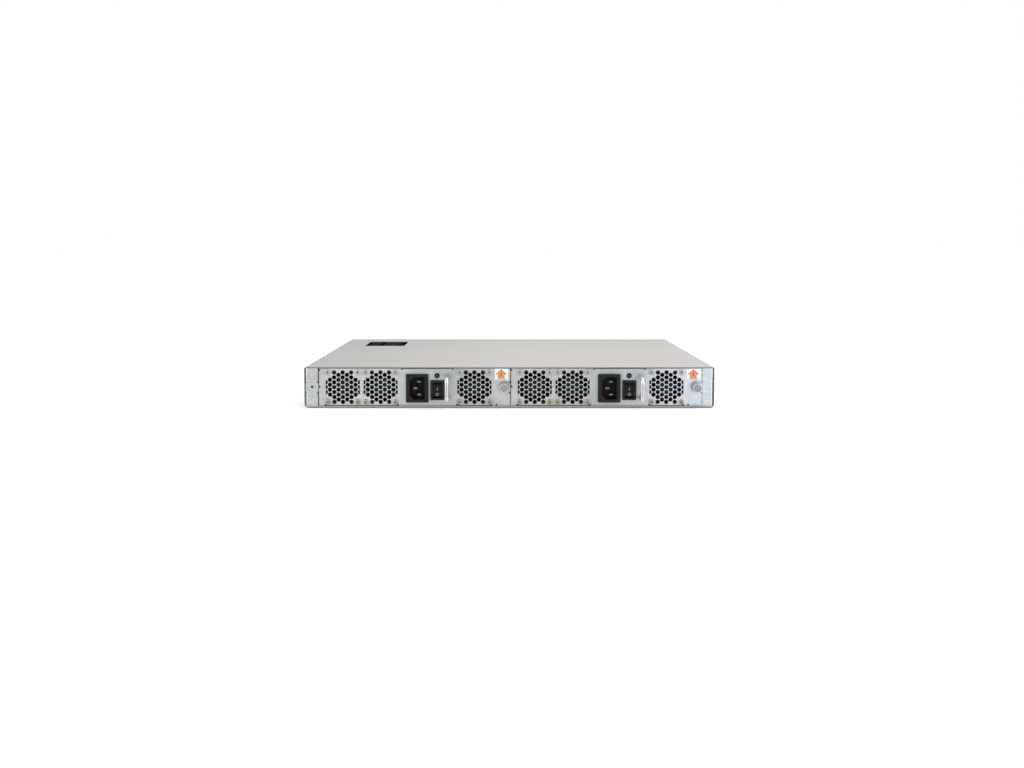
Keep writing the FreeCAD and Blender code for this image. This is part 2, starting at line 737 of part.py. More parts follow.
def power_sockets():
    """Card-edge sockets on the wall behind the bays."""
    body = subpart("power_sockets")
    front = d.mid_wall_y - d.socket_depth
    for bay in (d.left_bay, d.right_bay):
        left, right = bay + d.card_left, bay + d.card_right
        x = (left - d.socket_wall, right + d.socket_wall)
        z = (d.card_low - d.socket_lip, CARD_TOP + d.socket_lip)
        box(body, x, (front, d.mid_wall_y), z)
        slot_x = (left - d.bay_gap, right + d.bay_gap)
        slot_z = (d.card_low - d.slip, CARD_TOP + d.slip)
        box(body, slot_x, (front - 1, front + d.socket_slot), slot_z, cut=True)


STANDOFFS = [(x, y) for x in (-195, -70, 70, 195) for y in (15, 90, 160)]


def main_board():
    """Main circuit board, from the wall behind the bays to the port panel."""
    body = subpart("main_board")
    y = (d.mid_wall_y + d.board_back, BACK - d.board_back)
    box(body, (-d.board_half, d.board_half), y, (d.board_low, BOARD_TOP))
    rounds(body, "XY", STANDOFFS, d.screw_shank + d.slip, (d.board_low - 1, BOARD_TOP + 1), cut=True)


def board_standoffs():
    """Standoffs under the main board, each with its screw."""
    body = subpart("board_standoffs")
    rounds(body, "XY", STANDOFFS, d.standoff, (d.base_sheet, d.board_low))
    rounds(body, "XY", STANDOFFS, d.screw_shank, (d.board_low, BOARD_TOP))
    rounds(body, "XY", STANDOFFS, d.pan_head, (BOARD_TOP, BOARD_TOP + d.standoff_head))


SWITCH_CHIP = ((-30, 10), (75, 115))
PROCESSOR = ((120, 147), (60, 87), 2)
MEMORY = [((x, x + 11), (98, 112), 1.2) for x in (105, 121, 137, 153)]
REGULATORS = [((x, x + 10), (20, 30), 5) for x in (-170, -154, -138, -122, -106, -90)]
HEATSINK = ((-50, 30), (55, 135))
FINS = 16


def board_chips():
    """Switch chip, processor, memory and power chips on the main board."""
    body = subpart("board_chips")
    box(body, *SWITCH_CHIP, (BOARD_TOP, BOARD_TOP + d.chip))
    for x, y, height in [PROCESSOR] + MEMORY + REGULATORS:
        box(body, x, y, (BOARD_TOP, BOARD_TOP + height))


def switch_heatsink():
    """Finned heatsink on the switch chip."""
    body = subpart("switch_heatsink")
    low = BOARD_TOP + d.chip
    top = low + d.heatsink_base
    x, y = HEATSINK
    box(body, x, y, (low, top))
    fin = box(body, (x[0], x[0] + d.heatsink_fin), y, (top, top + d.heatsink_fins))
    repeat(body, [fin], "X", FINS, (x[1] - x[0] - d.heatsink_fin) / (FINS - 1))


def cage_centres():
    return [d.cage_x + step * d.cage_step for step in range(3)]


def port_panel():
    """Plate across the port end with a foot on the tray, cut for all that looks out of it."""
    body = subpart("port_panel")
    low, step = d.base_sheet, JOGGLE - d.base_sheet - d.slip
    wide, narrow = LOWER_IN - d.slip, UPPER_IN - d.slip
    floor = wide - TRAY_BEND
    right = [(floor, low), (wide, low + TRAY_BEND), (wide, step), (narrow, step), (narrow, INNER_TOP)]
    left = [(-x, z) for x, z in reversed(right)]
    y = (BACK - d.post_sheet, BACK)
    through = (y[0] - 1, BACK + 1)
    polygon(body, "XZ", right + left, y)
    box(body, (-floor, floor), (BACK - d.post_flange, y[0]), (low, low + d.post_sheet))
    openings = [(x, CAGE_WIDTH, CAGE_HEIGHT) for x in cage_centres()]
    openings += [(x, d.jack_width, d.jack_height) for x in (d.jack_x, d.jack_x + d.jack_step)]
    openings.append((d.usb_x, d.usb_width, d.usb_height))
    for x, width, height in openings:
        z = (BOARD_TOP - d.slip, BOARD_TOP + height + d.slip)
        box(body, around(x, width / 2 + d.slip), through, z, cut=True)
    rounds(body, "XZ", pipe_places(), d.pipe + d.slip, through, cut=True)
    vent = (d.port_vent_x, d.port_vent_x + d.vent_slot)
    slot = box(body, vent, through, (d.port_vent_low, d.port_vent_high), cut=True)
    repeat(body, [slot], "X", PANEL_VENTS, d.vent_pitch)


def pipe_places():
    """One pair of light pipes over each column of ports, and a pair of status lights."""
    pitch = d.cell_width + d.cage_wall
    places = []
    for centre in cage_centres():
        for column in range(4):
            x = centre + (column - 1.5) * pitch
            places += [(x - d.pipe_half, d.pipe_z), (x + d.pipe_half, d.pipe_z)]
    return places + [(d.jack_x, d.pipe_z), (d.jack_x + d.jack_step, d.pipe_z)]


PIPE_BEHIND = 2
PIPE_PROUD = 0.3
PIPE_FOOT = 0.9


def light_pipes():
    """Clear rods from the board's lights, up behind the cages and out to the panel."""
    body = subpart("light_pipes")
    rear = BACK - d.cage_depth - PIPE_BEHIND
    rounds(body, "XZ", pipe_places(), d.pipe, (rear, BACK + PIPE_PROUD))
    feet = [(x, rear + d.pipe) for x, z in pipe_places()]
    rounds(body, "XY", feet, PIPE_FOOT, (BOARD_TOP, d.pipe_z))


def sfp_cages(number, centre):
    """A block of two rows of four transceiver ports in one sheet-metal cage."""
    body = subpart(f"sfp_cages_{number}")
    left = centre - CAGE_WIDTH / 2
    y = (BACK - d.cage_depth, BACK + d.cage_proud)
    box(body, (left, left + CAGE_WIDTH), y, (BOARD_TOP, BOARD_TOP + CAGE_HEIGHT))
    cells = []
    for row in range(2):
        low = BOARD_TOP + d.cage_wall + row * (d.cell_height + d.row_gap)
        x = (left + d.cage_wall, left + d.cage_wall + d.cell_width)
        cells.append(box(body, x, (y[0] + d.cage_wall, y[1] + 1), (low, low + d.cell_height), cut=True))
    repeat(body, cells, "X", 4, d.cell_width + d.cage_wall)


JACK_STEPS = ((5.9, 2, 8.8), (3.1, 8.8, 10.6), (1.7, 10.6, 11.8))
TONGUE = (5.6, 4, 5.7)


def network_jacks():
    """Two modular jacks, each with its latch notch above the cavity."""
    body = subpart("network_jacks")
    y = (BACK - d.jack_depth, BACK + d.jack_proud)
    cavity = (BACK - d.jack_cavity, BACK + 1)
    for x in (d.jack_x, d.jack_x + d.jack_step):
        box(body, around(x, d.jack_width / 2), y, (BOARD_TOP, BOARD_TOP + d.jack_height))
        for half, low, high in JACK_STEPS:
            box(body, around(x, half), cavity, (BOARD_TOP + low, BOARD_TOP + high), cut=True)


def usb_port():
    """USB port: a sheet-metal shell around a tongue."""
    body = subpart("usb_port")
    rear, top = BACK - d.usb_cavity, BOARD_TOP + d.usb_height
    half = d.usb_width / 2
    box(body, around(d.usb_x, half), (BACK - d.usb_depth, BACK + d.jack_proud), (BOARD_TOP, top))
    cavity = (BOARD_TOP + d.usb_sheet, top - d.usb_sheet)
    box(body, around(d.usb_x, half - d.usb_sheet), (rear, BACK + 1), cavity, cut=True)
    reach, low, high = TONGUE
    box(body, around(d.usb_x, reach), (rear, BACK - 1), (BOARD_TOP + low, BOARD_TOP + high))


# ---------------------------------------------------------------- power-supply module

# Everything here is in the module's frame: its origin is at the bay's left edge,
# on the face and level with the chassis's bottom face.


def module_part(side, name, x=0, y=0, z=0):
    bay = d.left_bay if side == "left" else d.right_bay
    return subpart(f"{side}_psu_{name}", bay + x, FRONT + y, z)


PLATE_LEFT = d.bay_gap
PLATE_RIGHT = d.bay - d.bay_gap
SIDE_NOTCHES = {
    "left": (PLATE_LEFT + 0.8, (22.2, 40.2)),
    "right": (PLATE_RIGHT - 0.9, (d.notch_low, d.notch_high)),
}
TOP_NOTCHES = (89.3, 143.9)
BOTTOM_NOTCHES = (7.2, 85.0, 148.6, 185.2, 190.6)


GRILLE_REACH = 4
ROWS = {0: range(-3, 4), 1: range(-3, 3), 2: range(-3, 4), 3: range(-2, 2), 4: range(-1, 2)}


def grille_places():
    """Holes of one fan grille, from the fan's centre: columns a half row apart by turns."""
    for column in range(-GRILLE_REACH, GRILLE_REACH + 1):
        shift = 0.5 if column % 2 else 0
        for row in ROWS[abs(column)]:
            yield column * d.vent_column, (row + shift) * d.vent_row


def fan_corners(fan):
    for x in (fan - d.fan_screw, fan + d.fan_screw):
        for z in (d.fan_z - d.fan_screw, d.fan_z + d.fan_screw):
            yield x, z


def all_fan_corners():
    return [corner for fan in FANS for corner in fan_corners(fan)]


def faceplate(side):
    """Front plate with three fan grilles, the cut-outs and the notches beside its bends."""
    body = module_part(side, "faceplate")
    through = (-1, d.plate + 1)
    box(body, (PLATE_LEFT, PLATE_RIGHT), (0, d.plate), (d.plate_low, d.plate_high))
    notches = [(x, d.plate_high - 0.8) for x in TOP_NOTCHES]
    notches += [(x, d.plate_low + 0.9) for x in BOTTOM_NOTCHES]
    for x, heights in SIDE_NOTCHES.values():
        notches += [(x, z) for z in heights]
    rounds(body, "XZ", notches, d.notch, through, cut=True)
    soften(body, d.plate_bend, plate_bend_edge)
    for fan in FANS:
        places = [(fan + x, d.fan_z + z) for x, z in grille_places()]
        rounds(body, "XZ", places, d.vent_hole, through, cut=True)
        for side_of_fan in (-1, 1):
            near = fan + side_of_fan * GRILLE_REACH * d.vent_column
            x = in_order(near, near + side_of_fan * d.grille_edge * d.vent_column)
            box(body, x, (0, d.plate), around(d.fan_z, d.grille_edge_z))
    rounds(body, "XZ", all_fan_corners(), d.fan_shank + d.slip, through, cut=True)
    opening(body, d.inlet_x, d.inlet_z, d.inlet_body_x, d.inlet_body_z)
    opening(body, d.switch_x, d.switch_z, d.switch_body_x, d.switch_body_z)
    rod(body, "y", (d.led_x, d.led_z), d.led_body + d.running, through, cut=True)
    for z in (d.handle_low, d.handle_high):
        rod(body, "y", (d.handle_x, z), d.handle_foot + d.running, through, cut=True)
    rod(body, "y", (d.screw_x, d.screw_z), d.ferrule_foot + d.running, through, cut=True)


def opening(body, x, z, width, height):
    """A rectangular hole through the faceplate, a little larger than what fills it."""
    half_x, half_z = width / 2 + d.slip, height / 2 + d.slip
    box(body, (x - half_x, x + half_x), (-1, d.plate + 1), (z - half_z, z + half_z), cut=True)


def plate_bend_edge(edge):
    """The faceplate's front edges that are bends: each lies between two notches or past one."""
    left_low, left_high = SIDE_NOTCHES["left"][1]
    low, high = SIDE_NOTCHES["right"][1]
    return (
        runs(edge, "x", y=0, z=d.plate_high, x=TOP_NOTCHES)
        or runs(edge, "x", y=0, z=d.plate_low, x=BOTTOM_NOTCHES[0:2])
        or runs(edge, "x", y=0, z=d.plate_low, x=BOTTOM_NOTCHES[2:4])
        or runs(edge, "z", y=0, x=PLATE_LEFT, z=(left_low, left_high))
        or runs(edge, "z", y=0, x=PLATE_RIGHT, z=(d.plate_low, low))
        or runs(edge, "z", y=0, x=PLATE_RIGHT, z=(high, d.plate_high))
    )


CARD_GAP = 0.6


def case(side):
    """Open-topped box of the module, with a slotted back and a gap for the card edge."""
    body = module_part(side, "case")
    left, right, low = d.case_left, d.case_right, d.case_low
    sheet, high = d.case_sheet, d.plate_high - d.case_sheet
    outline = [
        (left, low),
        (right, low),
        (right, high),
        (right - sheet, high),
        (right - sheet, low + sheet),
        (left + sheet, low + sheet),
        (left + sheet, high),
        (left, high),
    ]
    polygon(body, "XZ", outline, (d.plate, d.case_back))
    rear = (d.case_back - sheet, d.case_back)
    box(body, (left, right), rear, (low, high))
    through = (rear[0] - 1, rear[1] + 1)
    gap = (d.card_low - CARD_GAP, CARD_TOP + CARD_GAP)
    box(body, (d.card_left - CARD_GAP, d.card_right + CARD_GAP), through, gap, cut=True)
    vent = (d.case_vent_x, d.case_vent_x + d.case_vent)
    slot = box(body, vent, through, (d.case_vent_low, d.case_vent_high), cut=True)
    repeat(body, [slot], "X", CASE_VENTS, d.case_vent_pitch)


def lid(side):
    """Flat lid of the module's case."""
    body = module_part(side, "lid")
    z = (d.plate_high - d.case_sheet, d.plate_high)
    box(body, (d.case_left, d.case_right), (d.plate, d.case_back), z)


SPOKE_ROOT = 0.4
BORE_GAP = 0.25
BLADES = 7


def fan_frames(side):
    """Square duct of each fan, with the rotor's bearing on four spokes at the back."""
    body = module_part(side, "fan_frames")
    front, rear = d.plate, d.plate + d.fan_depth
    half = d.fan_side / 2
    for fan in FANS:
        box(body, (fan - half, fan + half), (front, rear), (d.fan_z - half, d.fan_z + half))
    centres = [(fan, d.fan_z) for fan in FANS]
    rounds(body, "XZ", centres, d.fan_bore, (front - 1, rear + 1), cut=True)
    rounds(body, "XZ", centres, d.hub, (rear - d.bearing_depth, rear))
    reach = d.fan_bore + SPOKE_ROOT
    spokes = (rear - d.spoke_depth, rear)
    for fan in FANS:
        box(body, around(fan, reach), spokes, around(d.fan_z, d.spoke_half))
        box(body, around(fan, d.spoke_half), spokes, around(d.fan_z, reach))
    rounds(body, "XZ", centres, d.axle + d.running, (rear - d.hub_gap, rear - 1), cut=True)
    rounds(body, "XZ", all_fan_corners(), d.fan_shank + BORE_GAP, (front - 1, rear + 1), cut=True)


def fan_rotor(side, number, fan):
    """Hub, seven pitched blades and the shaft; the body's frame is at the fan's centre."""
    body = module_part(side, f"fan_rotor_{number}", fan, 0, d.fan_z)
    hub_rear = d.plate + d.fan_depth - d.hub_gap
    rod(body, "y", (0, 0), d.hub, (d.hub_front, hub_rear))
    rod(body, "y", (0, 0), d.axle, (hub_rear, hub_rear + d.axle_length))
    blade = body.newObject("PartDesign::AdditiveBox", "Blade")
    drive(blade, "Length", d.blade_tip - d.hub + 1)
    drive(blade, "Width", d.blade_chord)
    drive(blade, "Height", d.blade_sheet)
    pitch = FreeCAD.Rotation(Vector(1, 0, 0), d.blade_pitch.value)
    corner = pitch.multVec(Vector(0, -d.blade_chord.value / 2, -d.blade_sheet.value / 2))
    start = Vector(d.hub.value - 1, (d.hub_front.value + hub_rear.value) / 2, 0)
    blade.Placement = FreeCAD.Placement(start + corner, pitch)
    circle_of(body, [blade], BLADES)


def fan_screws(side):
    """Four cross-recessed screws to each fan."""
    body = module_part(side, "fan_screws")
    places = all_fan_corners()
    rounds(body, "XZ", places, d.pan_head, (-d.pan_depth, 0))
    front = -d.pan_depth.value
    soften(body, d.pan_round, lambda edge: abs(edge.BoundBox.YMax - front) < 0.01)
    rounds(body, "XZ", places, d.fan_shank, (0, d.fan_screw_end))
    for corner in places:
        cross_recess(body, "y", corner, d.fan_shank, (-d.pan_depth, d.pan_recess - d.pan_depth))


INLET_CORNER = 1.2
INLET_EDGE = 0.5


def inlet(side):
    """Appliance inlet: flange, body and a cavity with two chamfered corners."""
    body = module_part(side, "inlet", d.inlet_x, 0, d.inlet_z)
    half_x, half_z = d.inlet_flange_x / 2, d.inlet_flange_z / 2
    box(body, (-half_x, half_x), (-d.inlet_proud, 0), (-half_z, half_z))
    soften(body, INLET_CORNER, lambda edge: runs(edge, "y"))
    soften(body, INLET_EDGE, lambda edge: edge.BoundBox.YMax < -d.inlet_proud.value + 0.01)
    half_x, half_z = d.inlet_body_x / 2, d.inlet_body_z / 2
    box(body, (-half_x, half_x), (0, d.inlet_back), (-half_z, half_z))
    right, top = d.cavity_x / 2, d.cavity_z / 2
    cut = d.cavity_cut
    outline = [
        (right, -top),
        (right, top),
        (-right + cut, top),
        (-right, top - cut),
        (-right, -top + cut),
        (-right + cut, -top),
    ]
    polygon(body, "XZ", outline, (-d.inlet_proud, d.cavity_back), cut=True)
    for x, z in pin_places():
        pin_block(body, x, z, d.running, (d.cavity_back - 1, d.inlet_back + 1), cut=True)


def pin_places():
    return ((d.pin_side, d.pin_up), (d.pin_side, -d.pin_up), (-d.pin_side, 0))


def pin_block(body, x, z, gap, y, cut=False):
    """One contact blade, or the slot for it."""
    box(body, around(x, d.pin_x / 2 + gap), y, around(z, d.pin_z / 2 + gap), cut)


PIN_ROUND = 0.7


def inlet_pins(side):
    """The inlet's three contact blades, earth at the chamfered side and a little longer."""
    body = module_part(side, "inlet_pins", d.inlet_x, 0, d.inlet_z)
    for x, z in pin_places():
        front = d.pin_front if x.value > 0 else d.pin_front - d.earth_lead
        pin_block(body, x, z, 0, (front, d.inlet_back + d.pin_tail))
    soften(body, PIN_ROUND, lambda edge: edge.BoundBox.YMax < d.pin_front.value + 0.1)


BEZEL_CORNER = 1.0
BEZEL_EDGE = 0.4


def switch_frame(side):
    """Bezel and body of the rocker switch, with bearings for its trunnions and three tabs."""
    body = module_part(side, "switch_frame", d.switch_x, 0, d.switch_z)
    half_x, half_z = d.bezel_x / 2, d.bezel_z / 2
    box(body, (-half_x, half_x), (-d.bezel_proud, 0), (-half_z, half_z))
    soften(body, BEZEL_CORNER, lambda edge: runs(edge, "y"))
    soften(body, BEZEL_EDGE, lambda edge: edge.BoundBox.YMax < -d.bezel_proud.value + 0.01)
    half_x, half_z = d.switch_body_x / 2, d.switch_body_z / 2
    box(body, (-half_x, half_x), (0, d.switch_back), (-half_z, half_z))
    axis = d.rocker_z - d.switch_z
    well = (around(0, d.rocker_x / 2 + d.slip), (-d.bezel_proud - 1, d.switch_well))
    box(body, *well, around(axis, d.rocker_half + d.rocker_gap), cut=True)
    bearing = around(0, d.switch_body_x / 2 + 1)
    rod(body, "x", (d.rocker_pivot, axis), d.trunnion + d.running, bearing, cut=True)
    tab_y = (d.switch_back, d.switch_back + d.tab_length)
    for step in (-1, 0, 1):
        box(body, around(0, d.tab_half_x), tab_y, around(step * d.tab_pitch, d.tab_half_z))


ROCKER_END = ((1.5, 0.4), (-0.6, 0.2))
ROCKER_EDGE = 0.4


def rocker(side):
    """Rocker with a shallow V front and tapered ends, shown with its upper end pressed in."""
    body = module_part(side, "rocker", d.switch_x, d.rocker_pivot, d.rocker_z)
    half, lip = d.rocker_half, -d.bezel_proud - d.rocker_pivot
    upper = [(d.rocker_back, half / 2)]
    upper += [(y, half - taper) for y, taper in ROCKER_END]
    upper.append((lip, d.rocker_lip))
    lower = [(y, -z) for y, z in reversed(upper)]
    valley = (lip + d.rocker_valley, 0)
    polygon(body, "YZ", upper + [valley] + lower, around(0, d.rocker_x / 2))
    soften(body, ROCKER_EDGE, lambda edge: edge.BoundBox.YMax < 0 and edge.BoundBox.XLength < 0.01)
    rod(body, "x", (0, 0), d.trunnion, around(0, d.rocker_x / 2 + d.trunnion_length))
    body.Placement = FreeCAD.Placement(Vector(), FreeCAD.Rotation(Vector(1, 0, 0), -1))
    drive(body, "Placement.Rotation.Angle", -d.rocker_tilt)


RING_ROUND = 0.4
LENS_ROUND = 0.7


def status_led(side):
    """Round indicator: a ring on the face, a domed lens and the body behind."""
    body = module_part(side, "status_led", d.led_x, 0, d.led_z)
    ring, lens = -d.led_ring_proud, -d.led_lens_proud
    rod(body, "y", (0, 0), d.led_ring, (ring, 0))
    soften(body, RING_ROUND, lambda edge: abs(edge.BoundBox.YMax - ring.value) < 0.01)
    rod(body, "y", (0, 0), d.led_lens, (lens, ring))
    soften(body, LENS_ROUND, lambda edge: abs(edge.BoundBox.YMax - lens.value) < 0.01)
    rod(body, "y", (0, 0), d.led_body, (0, d.led_back))


def handle(side):
    """Bent rod with a shouldered, riveted foot at each end."""
    body = module_part(side, "handle", d.handle_x, 0, 0)
    low, high, bar, bend = d.handle_low, d.handle_high, -d.handle_proud, d.handle_bend
    path = sketch(body, "YZ", 0)
    corners = {
        "foot": (0, low),
        "bend": (bar + bend, low),
        "bar": (bar, low + bend),
        "top": (bar, high - bend),
        "turn": (bar + bend, high),
        "end": (0, high),
    }
    at = {name: Vector(as_size(y).value, as_size(z).value, 0) for name, (y, z) in corners.items()}
    centres = [Vector(at["bend"].x, at["bar"].y, 0), Vector(at["turn"].x, at["top"].y, 0)]
    slack = as_size(bend).value * 0.5 ** 0.5
    through = [centres[0] + Vector(-slack, -slack, 0), centres[1] + Vector(-slack, slack, 0)]
    path.addGeometry([
        Part.LineSegment(at["foot"], at["bend"]),
        Part.Arc(at["bend"], through[0], at["bar"]),
        Part.LineSegment(at["bar"], at["top"]),
        Part.Arc(at["top"], through[1], at["turn"]),
        Part.LineSegment(at["turn"], at["end"]),
    ])
    hold_handle_path(path, list(corners.values()))
    section = sketch(body, "XZ", 0)
    section.addGeometry(Part.Circle(Vector(0, low.value, 0), Vector(0, 0, 1), d.handle_rod.value))
    section.addConstraint([
        Sketcher.Constraint("Radius", 0, d.handle_rod.value),
        Sketcher.Constraint("PointOnObject", 0, 3, -2),
        Sketcher.Constraint("DistanceY", -1, 1, 0, 3, low.value),
    ])
    drive(section, "Constraints[0]", d.handle_rod)
    drive(section, "Constraints[2]", low)
    pipe = body.newObject("PartDesign::AdditivePipe", "Bend")
    pipe.Profile = section
    pipe.Spine = (path, [])
    for z in (low, high):
        rod(body, "y", (0, z), d.handle_foot, (0, d.plate))
        rod(body, "y", (0, z), d.handle_rivet, (d.plate, d.plate + d.rivet_depth))


def hold_handle_path(path, corners):
    """Hold every end of the handle's path, and the two bends' radii."""
    rules, drivers = [], []
    starts = ((0, corners[0]), (2, corners[2]), (4, corners[4]))
    for geometry, places in starts:
        more, places_driven = located(path, geometry, 1, places, len(rules))
        rules += more
        drivers += places_driven
    for geometry, places in ((0, corners[1]), (2, corners[3]), (4, corners[5])):
        more, places_driven = located(path, geometry, 2, places, len(rules))
        rules += more
        drivers += places_driven
    path.addConstraint(rules)
    for index, size in drivers:
        drive(path, f"Constraints[{index}]", size)
    joins = [(0, 2, 1, 2), (1, 1, 2, 1), (2, 2, 3, 2), (3, 1, 4, 1)]
    path.addConstraint([Sketcher.Constraint("Coincident", *join) for join in joins])


def screw_part(side, name):
    return module_part(side, name, d.screw_x, 0, d.screw_z)


def screw_ferrule(side):
    """Sleeve on the faceplate that the captive screw slides in, with a lip at its front."""
    body = screw_part(side, "screw_ferrule")
    front = -d.ferrule_front
    rod(body, "y", (0, 0), d.ferrule, (front, 0))
    rod(body, "y", (0, 0), d.ferrule_foot, (0, d.plate))
    rod(body, "y", (0, 0), d.ferrule_bore, (front + d.ferrule_lip, d.plate + 1), cut=True)
    rod(body, "y", (0, 0), d.captive_shank + 2 * d.slip, (front - 1, front + 1), cut=True)


KNURLS = 24
KNURL_OUT = 0.2
KNURL_FRONT = 1.6
KNURL_BACK = 1.0


def captive_screw(side):
    """Knurled knob, dished round a cross-recessed boss, with its shank and threaded tip."""
    body = screw_part(side, "captive_screw")
    front = -d.knob_front
    dish = front + d.dish_depth
    rod(body, "y", (0, 0), d.knob, (front, -d.knob_back))
    soften(body, d.knob_round, lambda edge: abs(edge.BoundBox.YMax - front.value) < 0.01)
    rod(body, "y", (0, 0), d.knob_dish, (front - 1, dish), cut=True)
    rod(body, "y", (0, 0), d.knob_boss, (front + d.boss_sink, dish))
    cross_recess(body, "y", (as_size(0), as_size(0)), d.knob_cross, (front, front + d.cross_depth))
    rod(body, "y", (0, 0), d.captive_shank, (-d.knob_back, d.plate))
    rod(body, "y", (0, 0), d.captive_tip, (d.plate, d.captive_end))
    knurled = (front + KNURL_FRONT, -d.knob_back - KNURL_BACK)
    groove = rod(body, "y", (d.knob + KNURL_OUT, 0), d.knurl, knurled, cut=True)
    circle_of(body, [groove], KNURLS)


def screw_retainer(side):
    """Ring on the shank that keeps the screw in its ferrule."""
    body = screw_part(side, "screw_retainer")
    rod(body, "y", (0, 0), d.ferrule_bore - d.slip, (-d.retainer_front, -d.retainer_back))
    rod(body, "y", (0, 0), d.captive_shank + d.running, (-2, 1), cut=True)


def power_board(side):
    """Circuit board of the supply, with the card edge that plugs into the chassis."""
    body = module_part(side, "power_board")
    rear = d.case_back - d.case_sheet
    z = (d.card_low, CARD_TOP)
    x = (d.case_left + d.board_gap, d.case_right - d.board_gap)
    box(body, x, (d.board_front, rear - d.slip), z)
    box(body, (d.card_left, d.card_right), (rear - 1, d.card_back), z)


CORE = ((72, 112), (90, 122), 26)
WINDOWS = ((76, 84), (100, 108))
YOKE = 5
WINDING = ((77, 107), (87, 125), 6, 20)
RESERVOIRS = {"centres": [(25, 60), (50, 60), (25, 86), (50, 86)], "radius": 10, "height": 28}
FILTERS = {"centres": [(140, 150), (156, 150), (140, 166), (156, 166)], "radius": 6, "height": 20}


def transformer(side):
    """Ferrite core with its winding through both windows."""
    body = module_part(side, "transformer")
    x, y, height = CORE
    box(body, x, y, (CARD_TOP, CARD_TOP + height))
    for window in WINDOWS:
        box(body, window, (y[0] - 1, y[1] + 1), (CARD_TOP + YOKE, CARD_TOP + height - YOKE), cut=True)
    x, y, low, high = WINDING
    box(body, x, y, (CARD_TOP + low, CARD_TOP + high))


def capacitors(side):
    """Reservoir capacitors standing on the power board."""
    body = module_part(side, "capacitors")
    for group in (RESERVOIRS, FILTERS):
        span = (CARD_TOP, CARD_TOP + group["height"])
        rounds(body, "XY", group["centres"], group["radius"], span)


def power_module(side):
    faceplate(side)
    case(side)
    lid(side)
    inlet(side)
    inlet_pins(side)
    switch_frame(side)
    rocker(side)
    status_led(side)
    handle(side)
    fan_frames(side)
    for number, fan in enumerate(FANS, 1):
        fan_rotor(side, number, fan)
    fan_screws(side)
    captive_screw(side)
    screw_retainer(side)
    screw_ferrule(side)
    power_board(side)
    transformer(side)
    capacitors(side)


def chassis():
    base_tray()
    top_cover()
    cover_screws()
    port_panel()
    left_post()
    centre_post()
    right_post()
    bay_divider()
    mid_wall()
    power_sockets()
    main_board()
    board_standoffs()
    board_chips()
    switch_heatsink()
    for number, centre in enumerate(cage_centres(), 1):
        sfp_cages(number, centre)
    light_pipes()
    network_jacks()
    usb_port()


def checked():
    """Stop on any failed object or bad shape."""
    for item in doc.Objects:
        if "Invalid" in item.State or "Error" in item.State:
            raise ValueError(f"{item.Name} ({item.Label}) failed: {item.State}")
    for body in subparts:
        if body.Shape.isNull() or not body.Shape.isValid() or not body.Shape.Solids:
            raise ValueError(f"{body.Label} has no valid solid")


chassis()
for module_side in ("left", "right"):
    power_module(module_side)
doc.recompute()
checked()

os.makedirs("parts", exist_ok=True)
for body in subparts:
    body.Shape.exportStep(f"parts/{body.Label}.step")
    print(body.Label, len(body.Shape.Solids), round(body.Shape.Volume))
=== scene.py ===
"""Looks of the one-unit network switch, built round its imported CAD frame.

Metres; +X right seen from the power face, +Y from the power face to the port face, +Z up.
"""

import json
import math

import bmesh
import bpy
from mathutils import Matrix, Vector


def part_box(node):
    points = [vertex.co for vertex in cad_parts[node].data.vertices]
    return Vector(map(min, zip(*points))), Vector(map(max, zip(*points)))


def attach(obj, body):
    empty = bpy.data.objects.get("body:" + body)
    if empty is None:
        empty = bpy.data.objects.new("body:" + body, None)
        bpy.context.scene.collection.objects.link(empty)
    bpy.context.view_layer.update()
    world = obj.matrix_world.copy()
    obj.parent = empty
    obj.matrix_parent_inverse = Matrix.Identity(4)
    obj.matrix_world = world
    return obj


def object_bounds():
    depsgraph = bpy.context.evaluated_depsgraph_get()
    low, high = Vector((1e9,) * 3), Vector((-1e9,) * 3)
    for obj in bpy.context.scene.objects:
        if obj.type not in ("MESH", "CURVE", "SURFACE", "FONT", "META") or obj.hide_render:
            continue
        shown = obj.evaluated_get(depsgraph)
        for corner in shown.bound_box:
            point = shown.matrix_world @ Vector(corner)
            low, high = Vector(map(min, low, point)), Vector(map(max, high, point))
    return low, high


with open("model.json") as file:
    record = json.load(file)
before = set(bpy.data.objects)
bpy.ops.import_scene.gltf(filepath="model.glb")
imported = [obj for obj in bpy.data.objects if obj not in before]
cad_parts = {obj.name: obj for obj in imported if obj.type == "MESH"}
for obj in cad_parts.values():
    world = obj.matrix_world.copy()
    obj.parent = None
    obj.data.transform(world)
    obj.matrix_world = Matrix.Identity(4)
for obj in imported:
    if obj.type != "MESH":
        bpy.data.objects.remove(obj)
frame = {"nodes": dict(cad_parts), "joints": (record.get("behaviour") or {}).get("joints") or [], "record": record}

CAD_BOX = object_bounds()
MM = 0.001
SIDES = ("left", "right")

CHASSIS_X = (-220, 220)  # the chassis's sides, in millimetres, for colours and painted light that run across it
COVER_Y = (0, 221)  # the cover's middle and its port side, in millimetres
PRINT = 0.12 * MM  # thickness of a label or a printed mark
LIFT = 0.01 * MM  # gap between a label and what it lies on
POWER_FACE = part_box("left_psu_faceplate")[0].y
PORT_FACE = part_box("port_panel")[1].y


# ---------------------------------------------------------------- materials


